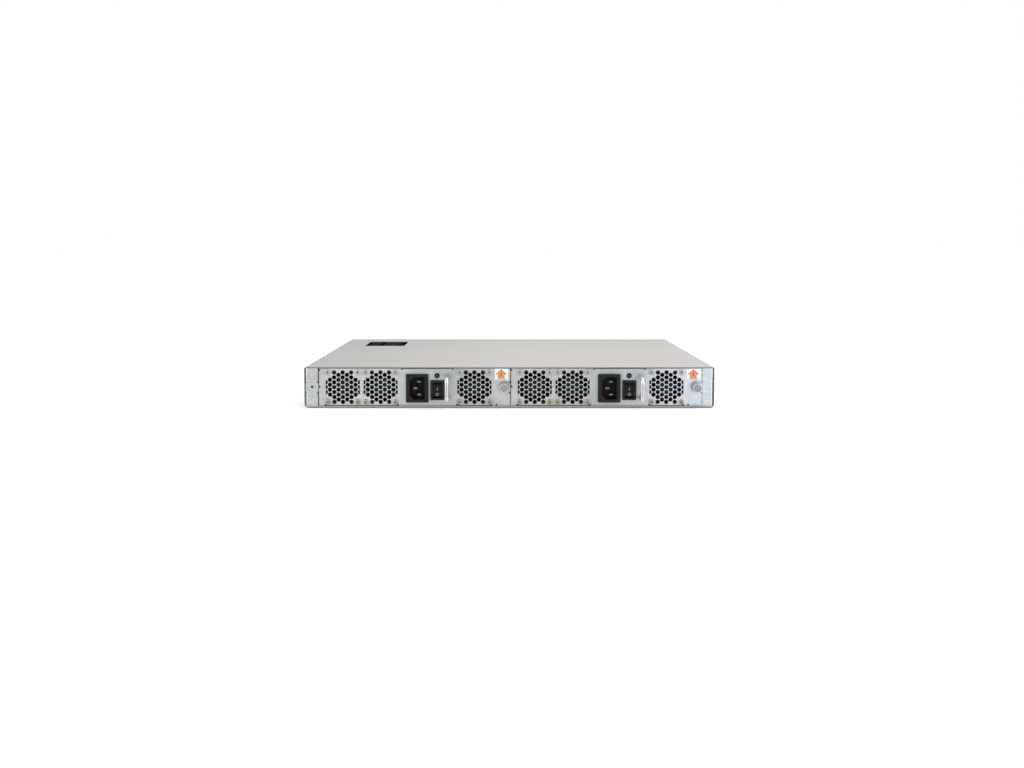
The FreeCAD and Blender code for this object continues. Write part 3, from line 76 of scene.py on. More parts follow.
class Surface:
    """A Principled material and short calls that add detail to it."""

    AO_SAMPLES = 6

    def __init__(self, name, colour, roughness, metallic=0.0, specular=0.5):
        self.material = bpy.data.materials.new(name)
        self.material.use_nodes = True
        self.tree = self.material.node_tree
        self.shader = self.tree.nodes["Principled BSDF"]
        self.colour = (*colour, 1.0)
        self.shader.inputs["Base Color"].default_value = self.colour
        self.shader.inputs["Roughness"].default_value = roughness
        self.shader.inputs["Metallic"].default_value = metallic
        self.shader.inputs["Specular IOR Level"].default_value = specular
        self.bump = None

    def node(self, kind, **values):
        """A new node with those values on its inputs."""
        item = self.tree.nodes.new(kind)
        for name, value in values.items():
            item.inputs[name.replace("_", " ")].default_value = value
        return item

    def link(self, output, target):
        self.tree.links.new(output, target)

    def place(self, stretch=(1, 1, 1)):
        """Object coordinates in millimetres, stretched along each axis."""
        coordinates = self.node("ShaderNodeTexCoord")
        mapping = self.node("ShaderNodeMapping")
        mapping.inputs["Scale"].default_value = [1000 / s for s in stretch]
        self.link(coordinates.outputs["Object"], mapping.inputs["Vector"])
        return mapping.outputs["Vector"]

    def noise(self, size, detail=2.0, stretch=(1, 1, 1), rough=0.5):
        """Noise whose blots are about size millimetres, times stretch along each axis."""
        item = self.node("ShaderNodeTexNoise", Scale=1.0 / size, Detail=detail, Roughness=rough)
        self.link(self.place(stretch), item.inputs["Vector"])
        return item.outputs["Fac"]

    def cells(self, size):
        """A random grey for each crystal-like cell."""
        item = self.node("ShaderNodeTexVoronoi", Scale=1.0 / size, Randomness=1.0)
        self.link(self.place(), item.inputs["Vector"])
        grey = self.node("ShaderNodeRGBToBW")
        self.link(item.outputs["Color"], grey.inputs["Color"])
        return grey.outputs["Val"]

    def ranged(self, value, low, high):
        """A value from 0 to 1, turned into one from low to high."""
        item = self.node("ShaderNodeMapRange", To_Min=low, To_Max=high)
        self.link(value, item.inputs["Value"])
        return item.outputs["Result"]

    def mix(self, first, second):
        """A colour mix of two colours, either of which may be an output: its node and its result."""
        item = self.tree.nodes.new("ShaderNodeMix")
        item.data_type = "RGBA"
        targets = [i for i in item.inputs if i.type == "RGBA"]
        for target, colour in zip(targets, (first, second)):
            if isinstance(colour, bpy.types.NodeSocket):
                self.link(colour, target)
            else:
                target.default_value = (*colour[:3], 1.0)
        return item, [o for o in item.outputs if o.type == "RGBA"][0]

    def mixed(self, factor, first, second):
        """A colour between two colours; either may be an output."""
        item, result = self.mix(first, second)
        self.link(factor, item.inputs["Factor"])
        return result

    def base(self):
        """The base colour so far, as an output or a colour."""
        socket = self.shader.inputs["Base Color"]
        return socket.links[0].from_socket if socket.links else self.colour

    def shade(self, factor, low, high):
        """Multiply the base colour by a grey that runs from low to high."""
        item, result = self.mix(self.base(), self.ranged(factor, low, high))
        item.blend_type = "MULTIPLY"
        item.inputs["Factor"].default_value = 1.0
        self.link(result, self.shader.inputs["Base Color"])

    def tint(self, factor, first, second):
        """A base colour between two colours."""
        self.link(self.mixed(factor, first, second), self.shader.inputs["Base Color"])

    def gloss(self, factor, low, high):
        """A roughness that runs from low to high."""
        self.link(self.ranged(factor, low, high), self.shader.inputs["Roughness"])

    def axes(self, vector):
        """The three coordinates of a vector, by the name of their axis."""
        split = self.node("ShaderNodeSeparateXYZ")
        self.link(vector, split.inputs["Vector"])
        return split.outputs

    def along(self, axis, low, high):
        """0 to 1 between two places on an axis, in millimetres."""
        item = self.node("ShaderNodeMapRange", From_Min=low, From_Max=high)
        self.link(self.axes(self.place())[axis], item.inputs["Value"])
        return item.outputs["Result"]

    def ramp(self, factor, stops):
        """Colours along a factor; stops are pairs of a place and a colour."""
        item = self.node("ShaderNodeValToRGB")
        elements = item.color_ramp.elements
        while len(elements) < len(stops):
            elements.new(0.5)
        for element, (place, colour) in zip(elements, stops):
            element.position = place
            element.color = (*colour, 1.0)
        self.link(factor, item.inputs["Fac"])
        self.link(item.outputs["Color"], self.shader.inputs["Base Color"])

    def rectangle(self, x, y):
        """1 between two places on X and two on Y, in millimetres, and 0 elsewhere."""
        places = self.axes(self.place())
        inside = []
        for axis, (low, high) in (("X", x), ("Y", y)):
            item = self.tree.nodes.new("ShaderNodeMath")
            item.operation = "COMPARE"
            self.link(places[axis], item.inputs[0])
            item.inputs[1].default_value = (low + high) / 2
            item.inputs[2].default_value = (high - low) / 2
            inside.append(item.outputs["Value"])
        both = self.tree.nodes.new("ShaderNodeMath")
        both.operation = "MULTIPLY"
        for output, target in zip(inside, both.inputs):
            self.link(output, target)
        return both.outputs["Value"]

    def print_over(self, mask, colour):
        """Another colour where the mask is 1."""
        self.tint(mask, self.base(), colour)

    def grime(self, reach, low):
        """Painted shade: darker in corners and holes, within that reach in millimetres."""
        item = self.node("ShaderNodeAmbientOcclusion", Distance=reach * MM)
        item.samples = self.AO_SAMPLES
        self.shade(item.outputs["AO"], low, 1.0)

    def facing(self, low):
        """Painted dark reflection: darker where the surface faces the power side squarely."""
        normal = self.node("ShaderNodeNewGeometry").outputs["Normal"]
        item = self.node("ShaderNodeMapRange", From_Min=-0.99, From_Max=-0.90, To_Min=low, To_Max=1.0)
        self.link(self.axes(normal)["Y"], item.inputs["Value"])
        self.shade(item.outputs["Result"], 0.0, 1.0)

    def relief(self, height, depth):
        """Bump of that depth in millimetres, on top of any earlier one."""
        item = self.node("ShaderNodeBump", Strength=1.0, Distance=depth * MM)
        self.link(height, item.inputs["Height"])
        if self.bump:
            self.link(self.bump, item.inputs["Normal"])
        self.bump = item.outputs["Normal"]
        self.link(self.bump, self.shader.inputs["Normal"])


PAINT_SPECULAR = 0.35
COVER_LIGHT_SHARES = ((0.0, 0.80), (0.3, 0.92), (0.5, 1.0))  # place across the cover, share of its colour as painted light and shade

# The dark label on the cover, in millimetres on X and Y; what is on it, from its edges
LABEL_X = (-187.8, -136.5)
LABEL_Y = (92.2, 167.9)
LABEL_SQUARE = ((5, 18), (12, 14))
LABEL_TEXT_X = (24, 5)
LABEL_TEXT_Y = 8
LABEL_ROWS = 7
LABEL_ROW_STEP = 9.2
LABEL_ROW_HIGH = 3.4
LABEL_RAGGED = 4  # each line of print is that much shorter than the last, and every third is long again


def top_label(s):
    """Black label on the cover, towards the port side, with dim lines of print."""
    (left, right), (near, far) = LABEL_X, LABEL_Y
    label = s.rectangle(LABEL_X, LABEL_Y)
    s.print_over(label, (0.005, 0.006, 0.007))
    s.link(s.ranged(label, PAINT_SPECULAR, 0.0), s.shader.inputs["Specular IOR Level"])
    for row in range(LABEL_ROWS):
        y = near + LABEL_TEXT_Y + LABEL_ROW_STEP * row
        x = (left + LABEL_TEXT_X[0], right - LABEL_TEXT_X[1] - LABEL_RAGGED * (row % 3))
        s.print_over(s.rectangle(x, (y, y + LABEL_ROW_HIGH)), (0.045, 0.075, 0.075))
    across, up = LABEL_SQUARE
    square = s.rectangle((left + across[0], left + across[1]), (near + up[0], far - up[1]))
    s.print_over(square, (0.02, 0.025, 0.025))


def painted(name, colour, labelled=False):
    """Powder coat: fine orange peel and a faint cloudiness.

    The labelled cover has painted light and shade: darker to the left and towards the ports.
    """
    s = Surface(name, colour, 0.5, specular=PAINT_SPECULAR)
    if labelled:
        # Painted light and shade across the cover: darker to the left and towards the ports.
        stops = [(place, [share * c for c in colour]) for place, share in COVER_LIGHT_SHARES]
        s.ramp(s.along("X", *CHASSIS_X), stops)
        s.shade(s.along("Y", *COVER_Y), 1.0, 0.93)
    s.shade(s.noise(60, 3), 0.965, 1.03)
    s.shade(s.noise(0.9, 2), 0.97, 1.03)
    s.gloss(s.noise(14, 3), 0.44, 0.56)
    s.relief(s.noise(0.7, 3), 0.035)
    if labelled:
        top_label(s)
    return s.material


def plated(name, colour, roughness, cloud=14, tones_and_light=None, specks=0.0):
    """Zinc plate: soft clouds, faint crystals and rolling marks along X.

    Tones run from left to right, partly the zinc's own and partly painted light and shade, and specks fade out
    towards the right.
    """
    s = Surface(name, colour, roughness, metallic=0.92)
    if tones_and_light:
        s.ramp(s.along("X", *CHASSIS_X), tones_and_light)
    if specks:
        spots = s.mixed(s.along("X", 100, 200), s.noise(1.7, 2, rough=0.4), (0.5, 0.5, 0.5))
        s.shade(spots, 1 - specks, 1 + specks)
    s.shade(s.noise(cloud, 4, rough=0.6), 0.82, 1.16)
    s.shade(s.cells(2.4), 0.90, 1.08)
    s.shade(s.noise(2.4, 4, rough=0.8), 0.80, 1.18)
    s.shade(s.noise(1.1, 3, (9, 9, 1)), 0.96, 1.03)
    # Painted shade in corners and holes.
    s.grime(5, 0.30)
    s.gloss(s.noise(9, 4), roughness - 0.07, roughness + 0.1)
    s.relief(s.noise(1.0, 3, (14, 14, 1)), 0.006)
    s.relief(s.noise(3.5, 2), 0.01)
    return s.material


def polished(name, colour, roughness, front=0.9, corners=0.35):
    """Bright plated steel with fine turning and handling marks, a painted dark reflection face on and painted
    shade in corners.
    """
    s = Surface(name, colour, roughness, metallic=1.0)
    s.shade(s.noise(5, 3), 0.93, 1.03)
    # Painted dark reflection face on, and painted shade in corners and holes.
    s.facing(front)
    s.grime(4, corners)
    s.gloss(s.noise(2.2, 4), roughness * 0.7, roughness * 1.6)
    s.relief(s.noise(0.35, 2, (1, 6, 1)), 0.004)
    return s.material


def passivated(name, lower, upper, roughness):
    """Zinc with an uneven passivation, warmer on the lower screws."""
    s = Surface(name, lower, roughness, metallic=0.85)
    s.tint(s.along("Z", 14, 28), lower, upper)
    s.shade(s.noise(1.6, 4, rough=0.7), 0.6, 1.25)
    # Painted shade in corners and holes.
    s.grime(3, 0.3)
    s.gloss(s.noise(1.1, 3), roughness - 0.08, roughness + 0.12)
    s.relief(s.noise(0.5, 3), 0.01)
    return s.material


def moulded(name, colour, roughness, grain=0.02, specular=0.2):
    """Moulded plastic with a fine spark-eroded grain."""
    s = Surface(name, colour, roughness, specular=specular)
    s.shade(s.noise(7, 3), 0.8, 1.2)
    s.gloss(s.noise(1.6, 3), roughness - 0.06, roughness + 0.1)
    s.relief(s.noise(0.28, 2), grain)
    return s.material


def clear(name, colour):
    """Clear acrylic."""
    s = Surface(name, colour, 0.15, specular=0.5)
    s.shader.inputs["Transmission Weight"].default_value = 0.75
    s.shader.inputs["IOR"].default_value = 1.49
    s.shade(s.noise(1.5, 2), 0.92, 1.05)
    s.relief(s.noise(0.8, 2), 0.01)
    return s.material


def circuit(name, colour):
    """Solder mask over a fine net of copper tracks."""
    s = Surface(name, colour, 0.35, specular=0.5)
    tracks = s.node("ShaderNodeTexBrick", Scale=1.0, Mortar_Size=0.06, Brick_Width=4.0, Row_Height=1.3)
    s.link(s.place((1.4, 1.4, 1.4)), tracks.inputs["Vector"])
    s.tint(tracks.outputs["Fac"], colour, [0.45 * c + 0.1 for c in colour])
    s.shade(s.noise(22, 3), 0.85, 1.12)
    s.relief(tracks.outputs["Fac"], 0.03)
    return s.material


def cut_edge(name):
    """Sheared edge of the tray: dark at the sides, burnished along the bottom, and a dark band at its foot that is
    a painted contact shadow.
    """
    s = Surface(name, (0.13, 0.13, 0.13), 0.45, metallic=0.6)
    # dark is the painted contact shadow at the foot of the edge.
    dark, bright, side = (0.06, 0.06, 0.06), (0.36, 0.36, 0.35), (0.13, 0.13, 0.127)
    stops = ((0.0, dark), (0.02, dark), (0.04, bright), (0.14, bright), (0.17, side))
    s.ramp(s.along("Z", 0, 10), stops)
    s.shade(s.noise(1.4, 3), 0.8, 1.2)
    s.relief(s.noise(0.5, 2, (1, 6, 1)), 0.02)
    return s.material


def printed(name, colour, roughness=0.5):
    """Ink or label stock with a faint paper grain."""
    s = Surface(name, colour, roughness, specular=0.3)
    s.shade(s.noise(0.8, 3), 0.96, 1.02)
    s.gloss(s.noise(3, 2), roughness - 0.08, roughness + 0.08)
    s.relief(s.noise(0.4, 2), 0.006)
    return s.material


def glowing(material, strength):
    """The same material with a faint white light of its own."""
    inputs = material.node_tree.nodes["Principled BSDF"].inputs
    inputs["Emission Color"].default_value = (1, 1, 1, 1)
    inputs["Emission Strength"].default_value = strength
    return material


# Zinc tones across the power face, partly the zinc's own and partly painted light and shade
LEFT_TONE = (0.470, 0.490, 0.480)
MIDDLE_TONE = (0.395, 0.425, 0.435)
BRIGHT_TONE = (0.520, 0.545, 0.545)
RIGHT_TONE = (0.570, 0.615, 0.670)
ZINC_TONES_AND_LIGHT = (  # place across the chassis, tone with painted light and shade
    (0.0, LEFT_TONE),
    (0.15, BRIGHT_TONE),
    (0.33, MIDDLE_TONE),
    (0.50, LEFT_TONE),
    (0.75, MIDDLE_TONE),
    (0.93, RIGHT_TONE),
)
MATERIALS = {  # by the slot names of the record
    "cover_paint": painted("cover_paint", (0.446, 0.429, 0.414), labelled=True),
    "zinc_sheet": plated("zinc_sheet", MIDDLE_TONE, 0.32, tones_and_light=ZINC_TONES_AND_LIGHT, specks=0.28),
    "module_sheet": plated("module_sheet", MIDDLE_TONE, 0.30, tones_and_light=ZINC_TONES_AND_LIGHT),
    # front and corners set the polished metals' painted dark reflection and painted shade.
    "bright_steel": polished("bright_steel", (0.70, 0.70, 0.71), 0.16, front=0.45),
    "screw_zinc": passivated("screw_zinc", (0.44, 0.36, 0.30), (0.50, 0.47, 0.45), 0.34),
    "nickel": polished("nickel", (0.55, 0.54, 0.52), 0.24, front=0.10),
    "cage_steel": plated("cage_steel", (0.58, 0.58, 0.57), 0.3, cloud=8),
    "brass": polished("brass", (0.62, 0.47, 0.22), 0.25),
    "black_plastic": moulded("black_plastic", (0.012, 0.011, 0.010), 0.5),
    "rocker_plastic": moulded("rocker_plastic", (0.007, 0.007, 0.007), 0.38, grain=0.008, specular=0.15),
    "fan_plastic": moulded("fan_plastic", (0.010, 0.010, 0.011), 0.5),
    "lens_green": moulded("lens_green", (0.001, 0.009, 0.005), 0.4, grain=0.004, specular=0.08),
    "clear_plastic": clear("clear_plastic", (0.86, 0.90, 0.90)),
    "board_green": circuit("board_green", (0.012, 0.10, 0.045)),
    "chip_black": moulded("chip_black", (0.018, 0.018, 0.019), 0.5),
    "heatsink_alloy": plated("heatsink_alloy", (0.50, 0.51, 0.53), 0.4, cloud=30),
    "ferrite": moulded("ferrite", (0.035, 0.034, 0.036), 0.6),
    "capacitor_sleeve": moulded("capacitor_sleeve", (0.012, 0.016, 0.05), 0.35, grain=0.004),
}
# Near-black for the cover's edges: painted shade.
COVER_EDGE_SHADE = painted("cover_edge_shade", (0.055, 0.056, 0.058))
TRAY_EDGE_AND_SHADOW = cut_edge("tray_edge_and_shadow")
# Near-black for the screws' cross recesses: painted shade.
RECESS_SHADE = moulded("recess", (0.03, 0.026, 0.022), 0.6)
# Near-black for the case's edge behind the notches: painted shade.
SHADOWED = moulded("shadowed", (0.012, 0.012, 0.012), 0.7, specular=0.05)
# Near-white zinc for the posts' outer bends and the seam walls: a painted highlight.
PAINTED_HIGHLIGHT_ZINC = polished("painted_highlight_zinc", (0.95, 0.97, 0.98), 0.22, front=1.0, corners=0.95)
# The knob's own colour, with a painted dark reflection face on and painted shade in corners.
KNOB_STEEL = polished("knob_steel", (0.62, 0.62, 0.64), 0.3, front=0.62, corners=0.7)
MARK_GREY = printed("mark_grey", (0.26, 0.26, 0.26))
# Paler green for the middle of the lamp's lens: a painted highlight.
LENS_HIGHLIGHT = moulded("lens_highlight", (0.06, 0.095, 0.075), 0.3, grain=0.004, specular=0.35)
LABEL_WHITE = printed("label_white", (0.78, 0.77, 0.76), 0.42)
ARROW_ORANGE = printed("arrow_orange", (0.84, 0.28, 0.07))
ARROW_DARK = printed("arrow_dark", (0.50, 0.095, 0.010))
ARROW_OUTLINE = printed("arrow_outline", (0.26, 0.105, 0.035))
PRINT_GREY = printed("print_grey", (0.27, 0.34, 0.36))
PRINT_BLACK = printed("print_black", (0.02, 0.02, 0.02))
GOLD = polished("gold", (0.85, 0.62, 0.26), 0.2)
FLOOR = glowing(printed("floor", (0.90, 0.90, 0.90), 0.9), 0.12)


# ---------------------------------------------------------------- shapes


def new_piece(name, body, material, build):
    """A piece of the object, made by build(shape) and moving with a CAD body."""
    mesh = bpy.data.meshes.new(name)
    shape = bmesh.new()
    build(shape)
    bmesh.ops.recalc_face_normals(shape, faces=shape.faces)
    shape.to_mesh(mesh)
    shape.free()
    mesh.materials.append(material)
    item = bpy.data.objects.new(name, mesh)
    bpy.context.scene.collection.objects.link(item)
    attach(item, body)


def add_prism(name, body, material, loops, spot, low, high):
    """A piece that is one prism."""
    new_piece(name, body, material, lambda shape: prism(shape, loops, spot, low, high))


def prism(shape, loops, spot, low, high):
    """Solid between two levels; a second loop makes a hole. spot turns (a, b, level) into a point."""
    rings = []
    for level in (low, high):
        rings.append([[shape.verts.new(spot(a, b, level)) for a, b in loop] for loop in loops])
    for bottom, top in zip(*rings):
        for n in range(len(bottom)):
            shape.faces.new((bottom[n - 1], bottom[n], top[n], top[n - 1]))
    for level in rings:
        if len(level) == 1:
            shape.faces.new(level[0])
        else:
            outer, inner = level
            for n in range(len(outer)):
                shape.faces.new((outer[n - 1], outer[n], inner[n], inner[n - 1]))


def block(shape, x, y, z, turn=None):
    """A box over a span on each axis, in millimetres; turn is a matrix applied about its centre."""
    low, high = (Vector(corner) * MM for corner in zip(x, y, z))
    centre, size = (low + high) / 2, high - low
    matrix = Matrix.Translation(centre) @ (turn or Matrix()) @ Matrix.Diagonal((*size, 1))
    bmesh.ops.create_cube(shape, size=1, matrix=matrix)


def evenly(span, count, wide):
    """Spans of one width, spread evenly over a longer span."""
    step = (span[1] - span[0]) / count
    for n in range(count):
        low = span[0] + (n + 0.5) * step - wide / 2
        yield low, low + wide


CORNER_STEPS = 4
CIRCLE_STEPS = 28


def rounded(low, high, radius):
    """Outline of a rectangle with round corners."""
    points = []
    corners = ((1, 1, 0), (-1, 1, 90), (-1, -1, 180), (1, -1, 270))
    middle = [(a + b) / 2 for a, b in zip(low, high)]
    reach = [(b - a) / 2 - radius for a, b in zip(low, high)]
    for right, up, start in corners:
        for n in range(CORNER_STEPS + 1):
            angle = math.radians(start + 90 * n / CORNER_STEPS)
            a = middle[0] + right * reach[0] + radius * math.cos(angle)
            b = middle[1] + up * reach[1] + radius * math.sin(angle)
            points.append((a, b))
    return points


def circle(a, b, radius):
    """Outline of a circle."""
    turns = [2 * math.pi * n / CIRCLE_STEPS for n in range(CIRCLE_STEPS)]
    return [(a + radius * math.cos(t), b + radius * math.sin(t)) for t in turns]


def repaint(node, material, test):
    """Give another material to the faces of a CAD node that a test picks."""
    mesh = frame["nodes"][node].data
    mesh.materials.append(material)
    index = len(mesh.materials) - 1
    for face in mesh.polygons:
        if test(face):
            face.material_index = index


# ---------------------------------------------------------------- CAD nodes


def dress_nodes():
    """Every CAD node takes its record's material; the cover's edges get painted shade, the tray's sheared edges a
    dark material with a painted contact shadow, and the posts' outer bends a painted highlight.
    """
    slots = {part["node"]: part["material_slot"] for part in frame["record"]["subparts"]}
    for name, node in frame["nodes"].items():
        node.data.materials.clear()
        node.data.materials.append(MATERIALS[slots[name]])
    # The cover's edges take painted shade; the tray's edges a dark edge with a painted contact shadow at its foot.
    for name, material in (("top_cover", COVER_EDGE_SHADE), ("base_tray", TRAY_EDGE_AND_SHADOW)):
        repaint(name, material, lambda face: abs(face.normal.y) > 0.9)
    # The posts' outer bends get a painted highlight.
    for name, outward in (("left_post", -1), ("right_post", 1)):
        repaint(name, PAINTED_HIGHLIGHT_ZINC, lambda face: face.normal.y < -0.2 and outward * face.normal.x > 0.25)


def bright_seam():
    """Bright walls in the seam beside the right module, which hardly shows in the photograph."""
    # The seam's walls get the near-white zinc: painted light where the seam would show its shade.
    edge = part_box("right_psu_faceplate")[1].x - 0.05 * MM
    repaint("right_psu_faceplate", PAINTED_HIGHLIGHT_ZINC, lambda face: face.normal.x > 0.9 and face.center.x > edge)
    repaint("right_post", PAINTED_HIGHLIGHT_ZINC, lambda face: face.normal.x < -0.9)


BAY_GAP = 0.3 * MM  # beside each faceplate


def bay_left(side):
    """The module's own zero on X: its bay's left edge, a gap beside its faceplate."""
    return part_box(f"{side}_psu_faceplate")[0].x - BAY_GAP


def on_faceplate(side):
    """Places on a faceplate, from millimetres in the module's frame."""
    left = bay_left(side)
    return lambda x, z, out: Vector((left + x * MM, POWER_FACE - out, z * MM))


# ---------------------------------------------------------------- power face


ARROW_X = 195.7  # middle of the airflow arrow, in the module's millimetres


def arrow(top, neck, foot, head, stem):
    """Outline of an upward arrow; head and stem are half widths."""
    right = [(head, neck), (stem, neck), (stem, foot)]
    left = [(-x, z) for x, z in reversed(right)]
    return [(ARROW_X + x, z) for x, z in [(0, top)] + right + left]


# Piece, outline in the module's millimetres, material, and height as a multiple of PRINT
AIRFLOW_LAYERS = (
    ("airflow_label", rounded((188.9, 29.3), (203.3, 41.5), 0.5), LABEL_WHITE, 1.0),
    ("airflow_line", rounded((190.8, 30.0), (200.8, 30.9), 0.3), PRINT_GREY, 1.1),
    ("airflow_outline", arrow(top=41.0, neck=35.6, foot=31.2, head=5.9, stem=3.5), ARROW_OUTLINE, 1.2),
    ("airflow_arrow", arrow(top=39.9, neck=36.3, foot=31.6, head=4.3, stem=2.8), ARROW_ORANGE, 1.3),
    ("airflow_mark", arrow(top=38.4, neck=37.0, foot=33.2, head=1.2, stem=0.8), ARROW_DARK, 1.4),
)


def airflow_label(side):
    """White label above the captive screw: an orange arrow over a line of print."""
    spot = on_faceplate(side)
    for name, outline, material, level in AIRFLOW_LAYERS:
        add_prism(f"{side}_{name}", f"{side}_psu", material, [outline], spot, LIFT, level * PRINT)


# The rocker's front in the tilt's frame, in millimetres: depths of its lips and valley, half height
ROCKER_LIP = -2.8
ROCKER_VALLEY = -1.7
ROCKER_HALF = 6.0
ROCKER_TILT = -10  # degrees, as it rests


def on_rocker(side):
    """Places on the rocker's V front, in millimetres from its axis, tilted with it."""
    joint = [j for j in frame["joints"] if j["name"] == f"{side}_rocker_tilt"][0]
    pivot = Vector(joint["pos_m"])
    tilt = Matrix.Rotation(math.radians(ROCKER_TILT), 3, "X")
    slope = (ROCKER_LIP - ROCKER_VALLEY) / ROCKER_HALF

    def spot(x, z, out):
        depth = ROCKER_VALLEY + slope * abs(z)
        return pivot + tilt @ Vector((x * MM, depth * MM - out, z * MM))

    return spot


RING_HEIGHT = -4.4  # middle of the ring on the rocker's lower half


def rocker_marks(side):
    """Moulded bar and ring on the two halves of the rocker."""
    bar = rounded((-0.35, -0.1), (0.35, 2.7), 0.15)
    ring = [circle(0, RING_HEIGHT, 1.55), circle(0, RING_HEIGHT, 0.95)]
    for name, loops in (("on_mark", [bar]), ("off_mark", ring)):
        piece = f"{side}_rocker_{name}"
        add_prism(piece, f"{side}_rocker", MARK_GREY, loops, on_rocker(side), -LIFT, PRINT)


def hidden_edges(side):
    """The case's edge behind the faceplate's notches is painted near-black: painted shade."""
    repaint(f"{side}_psu_case", SHADOWED, lambda face: face.normal.y < -0.9)


def knob(side):
    """The captive screw is a little darker than the handle."""
    repaint(f"{side}_psu_captive_screw", KNOB_STEEL, lambda face: True)


# Fan screws in the module's millimetres; depths are behind the front of their heads
FAN_CENTRES = (25.9, 66.4, 167.0)
FAN_HEIGHT = 21.7
FAN_SCREW = 16.0
RECESS_DEPTHS = (0.05 * MM, 0.85 * MM)
RECESS_RADIUS = 1.6 * MM


def screw_recesses(side):
    """The cross recesses of the fan screws are painted dark: painted shade."""
    node = f"{side}_psu_fan_screws"
    left, front = bay_left(side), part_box(node)[0].y
    steps = (-FAN_SCREW, FAN_SCREW)
    columns = [left + (fan + step) * MM for fan in FAN_CENTRES for step in steps]
    rows = [(FAN_HEIGHT + step) * MM for step in steps]

    def in_recess(face):
        x = min(abs(face.center.x - column) for column in columns)
        z = min(abs(face.center.z - row) for row in rows)
        depth = face.center.y - front
        return RECESS_DEPTHS[0] < depth < RECESS_DEPTHS[1] and math.hypot(x, z) < RECESS_RADIUS

    repaint(node, RECESS_SHADE, in_recess)


# The lamp's lens: how far back its dome reaches, and the radius of its painted highlight in the middle
LENS_PROUD = 0.75 * MM
LENS_SPOT = 1.0 * MM


def led_lens(side):
    """The lens stands in front of its ring and has a painted highlight in the middle."""
    node = f"{side}_psu_status_led"
    low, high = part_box(node)
    front = low.y + LENS_PROUD
    centre = (low + high) / 2

    def in_spot(face):
        return face.center.y < front and (face.center - centre).xz.length < LENS_SPOT

    repaint(node, LENS_HIGHLIGHT, in_spot)


# The inlet's rib in millimetres from the inlet's centre: half sizes and corners, outside and inside
RIB_OUTSIDE = ((9.4, 13.6), 1.6)
RIB_INSIDE = ((8.8, 13.0), 1.2)
RIB_PROUD = 0.25 * MM  # in front of the inlet


def inlet_rib(side):
    """Moulded rib round the inlet's cavity."""
    low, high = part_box(f"{side}_psu_inlet")
    centre = (low + high) / 2
    x, z = (centre.x - bay_left(side)) / MM, centre.z / MM
    loops = []
    for (wide, tall), radius in (RIB_OUTSIDE, RIB_INSIDE):
        loops.append(rounded((x - wide, z - tall), (x + wide, z + tall), radius))
    face = POWER_FACE - low.y
    levels = (face - LIFT, face + RIB_PROUD)
    plastic = MATERIALS["black_plastic"]
    add_prism(f"{side}_inlet_rib", f"{side}_psu", plastic, loops, on_faceplate(side), *levels)


# ---------------------------------------------------------------- port face


# Transceiver ports, in millimetres
PORT_PITCH = 14.6
PORT_SIDE = 14.0
PORT_TALL = 9.0
PORT_ROW = 13.0
PORT_COLUMNS = 4
CAGE_WALL = 0.6
CAGES = (1, 2, 3)
PORT_Y = PORT_FACE / MM


def behind_ports(x, z, out):
    """Places on the port face in the row frame's millimetres; out points away from it."""
    return Vector((x * MM, PORT_FACE + out, z * MM))


def ports(cage):
    """Left edge and lower edge of each port of a cage, in millimetres, with its column and row."""
    low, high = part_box(f"sfp_cages_{cage}")
    for row in (0, 1):
        for column in range(PORT_COLUMNS):
            x = low.x / MM + CAGE_WALL + column * PORT_PITCH
            z = low.z / MM + CAGE_WALL + row * PORT_ROW
            yield x, z, column, row


# The connector in a port: spans across and up from the port's lower left corner, and its depth
CONNECTOR_BLOCKS = (
    ((2.4, 11.6), (1.2, 3.2), 9.0),
    ((2.4, 11.6), (4.6, 6.8), 9.0),
    ((2.4, 3.2), (3.2, 4.6), 8.4),
    ((10.8, 11.6), (3.2, 4.6), 8.4),
)

# The connector's contacts, from the same corner and the cage's rear
CONTACT_COUNT = 9
CONTACT_LEFT = 3.6
CONTACT_STEP = 0.8
CONTACT_ROWS = (3.2, 4.3)
CONTACT_WIDE = 0.35
CONTACT_THICK = 0.3
CONTACT_DEPTHS = (2, 8.6)

# Spring strips on a port's side walls; depths are behind the panel and the lean is in degrees
SPRING_WALL = 0.12
SPRING_THICK = 0.25
SPRING_HEIGHTS = (3.2, 5.8)
SPRING_DEPTHS = (9, 1.5)
SPRING_LEAN = 1.5


def port_fittings(cage):
    """Inside each port: the board connector with its contacts, and two spring strips."""
    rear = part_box(f"sfp_cages_{cage}")[0].y / MM + CAGE_WALL

    def connectors(shape):
        for x, z, column, row in ports(cage):
            for (left, right), (low, high), deep in CONNECTOR_BLOCKS:
                block(shape, (x + left, x + right), (rear, rear + deep), (z + low, z + high))

    def contacts(shape):
        deep = [rear + depth for depth in CONTACT_DEPTHS]
        for x, z, column, row in ports(cage):
            for pin in range(CONTACT_COUNT):
                left = x + CONTACT_LEFT + CONTACT_STEP * pin
                for foot in [z + height for height in CONTACT_ROWS]:
                    block(shape, (left, left + CONTACT_WIDE), deep, (foot, foot + CONTACT_THICK))

    def springs(shape):
        deep = [PORT_Y - depth for depth in SPRING_DEPTHS]
        walls = ((SPRING_WALL, SPRING_LEAN), (PORT_SIDE - SPRING_WALL - SPRING_THICK, -SPRING_LEAN))
        for x, z, column, row in ports(cage):
            up = [z + height for height in SPRING_HEIGHTS]
            for side, lean in walls:
                turn = Matrix.Rotation(math.radians(lean), 4, "Z")
                block(shape, (x + side, x + side + SPRING_THICK), deep, up, turn)

    new_piece(f"port_connectors_{cage}", "chassis", MATERIALS["black_plastic"], connectors)
    new_piece(f"port_contacts_{cage}", "chassis", GOLD, contacts)
    new_piece(f"port_springs_{cage}", "chassis", MATERIALS["bright_steel"], springs)


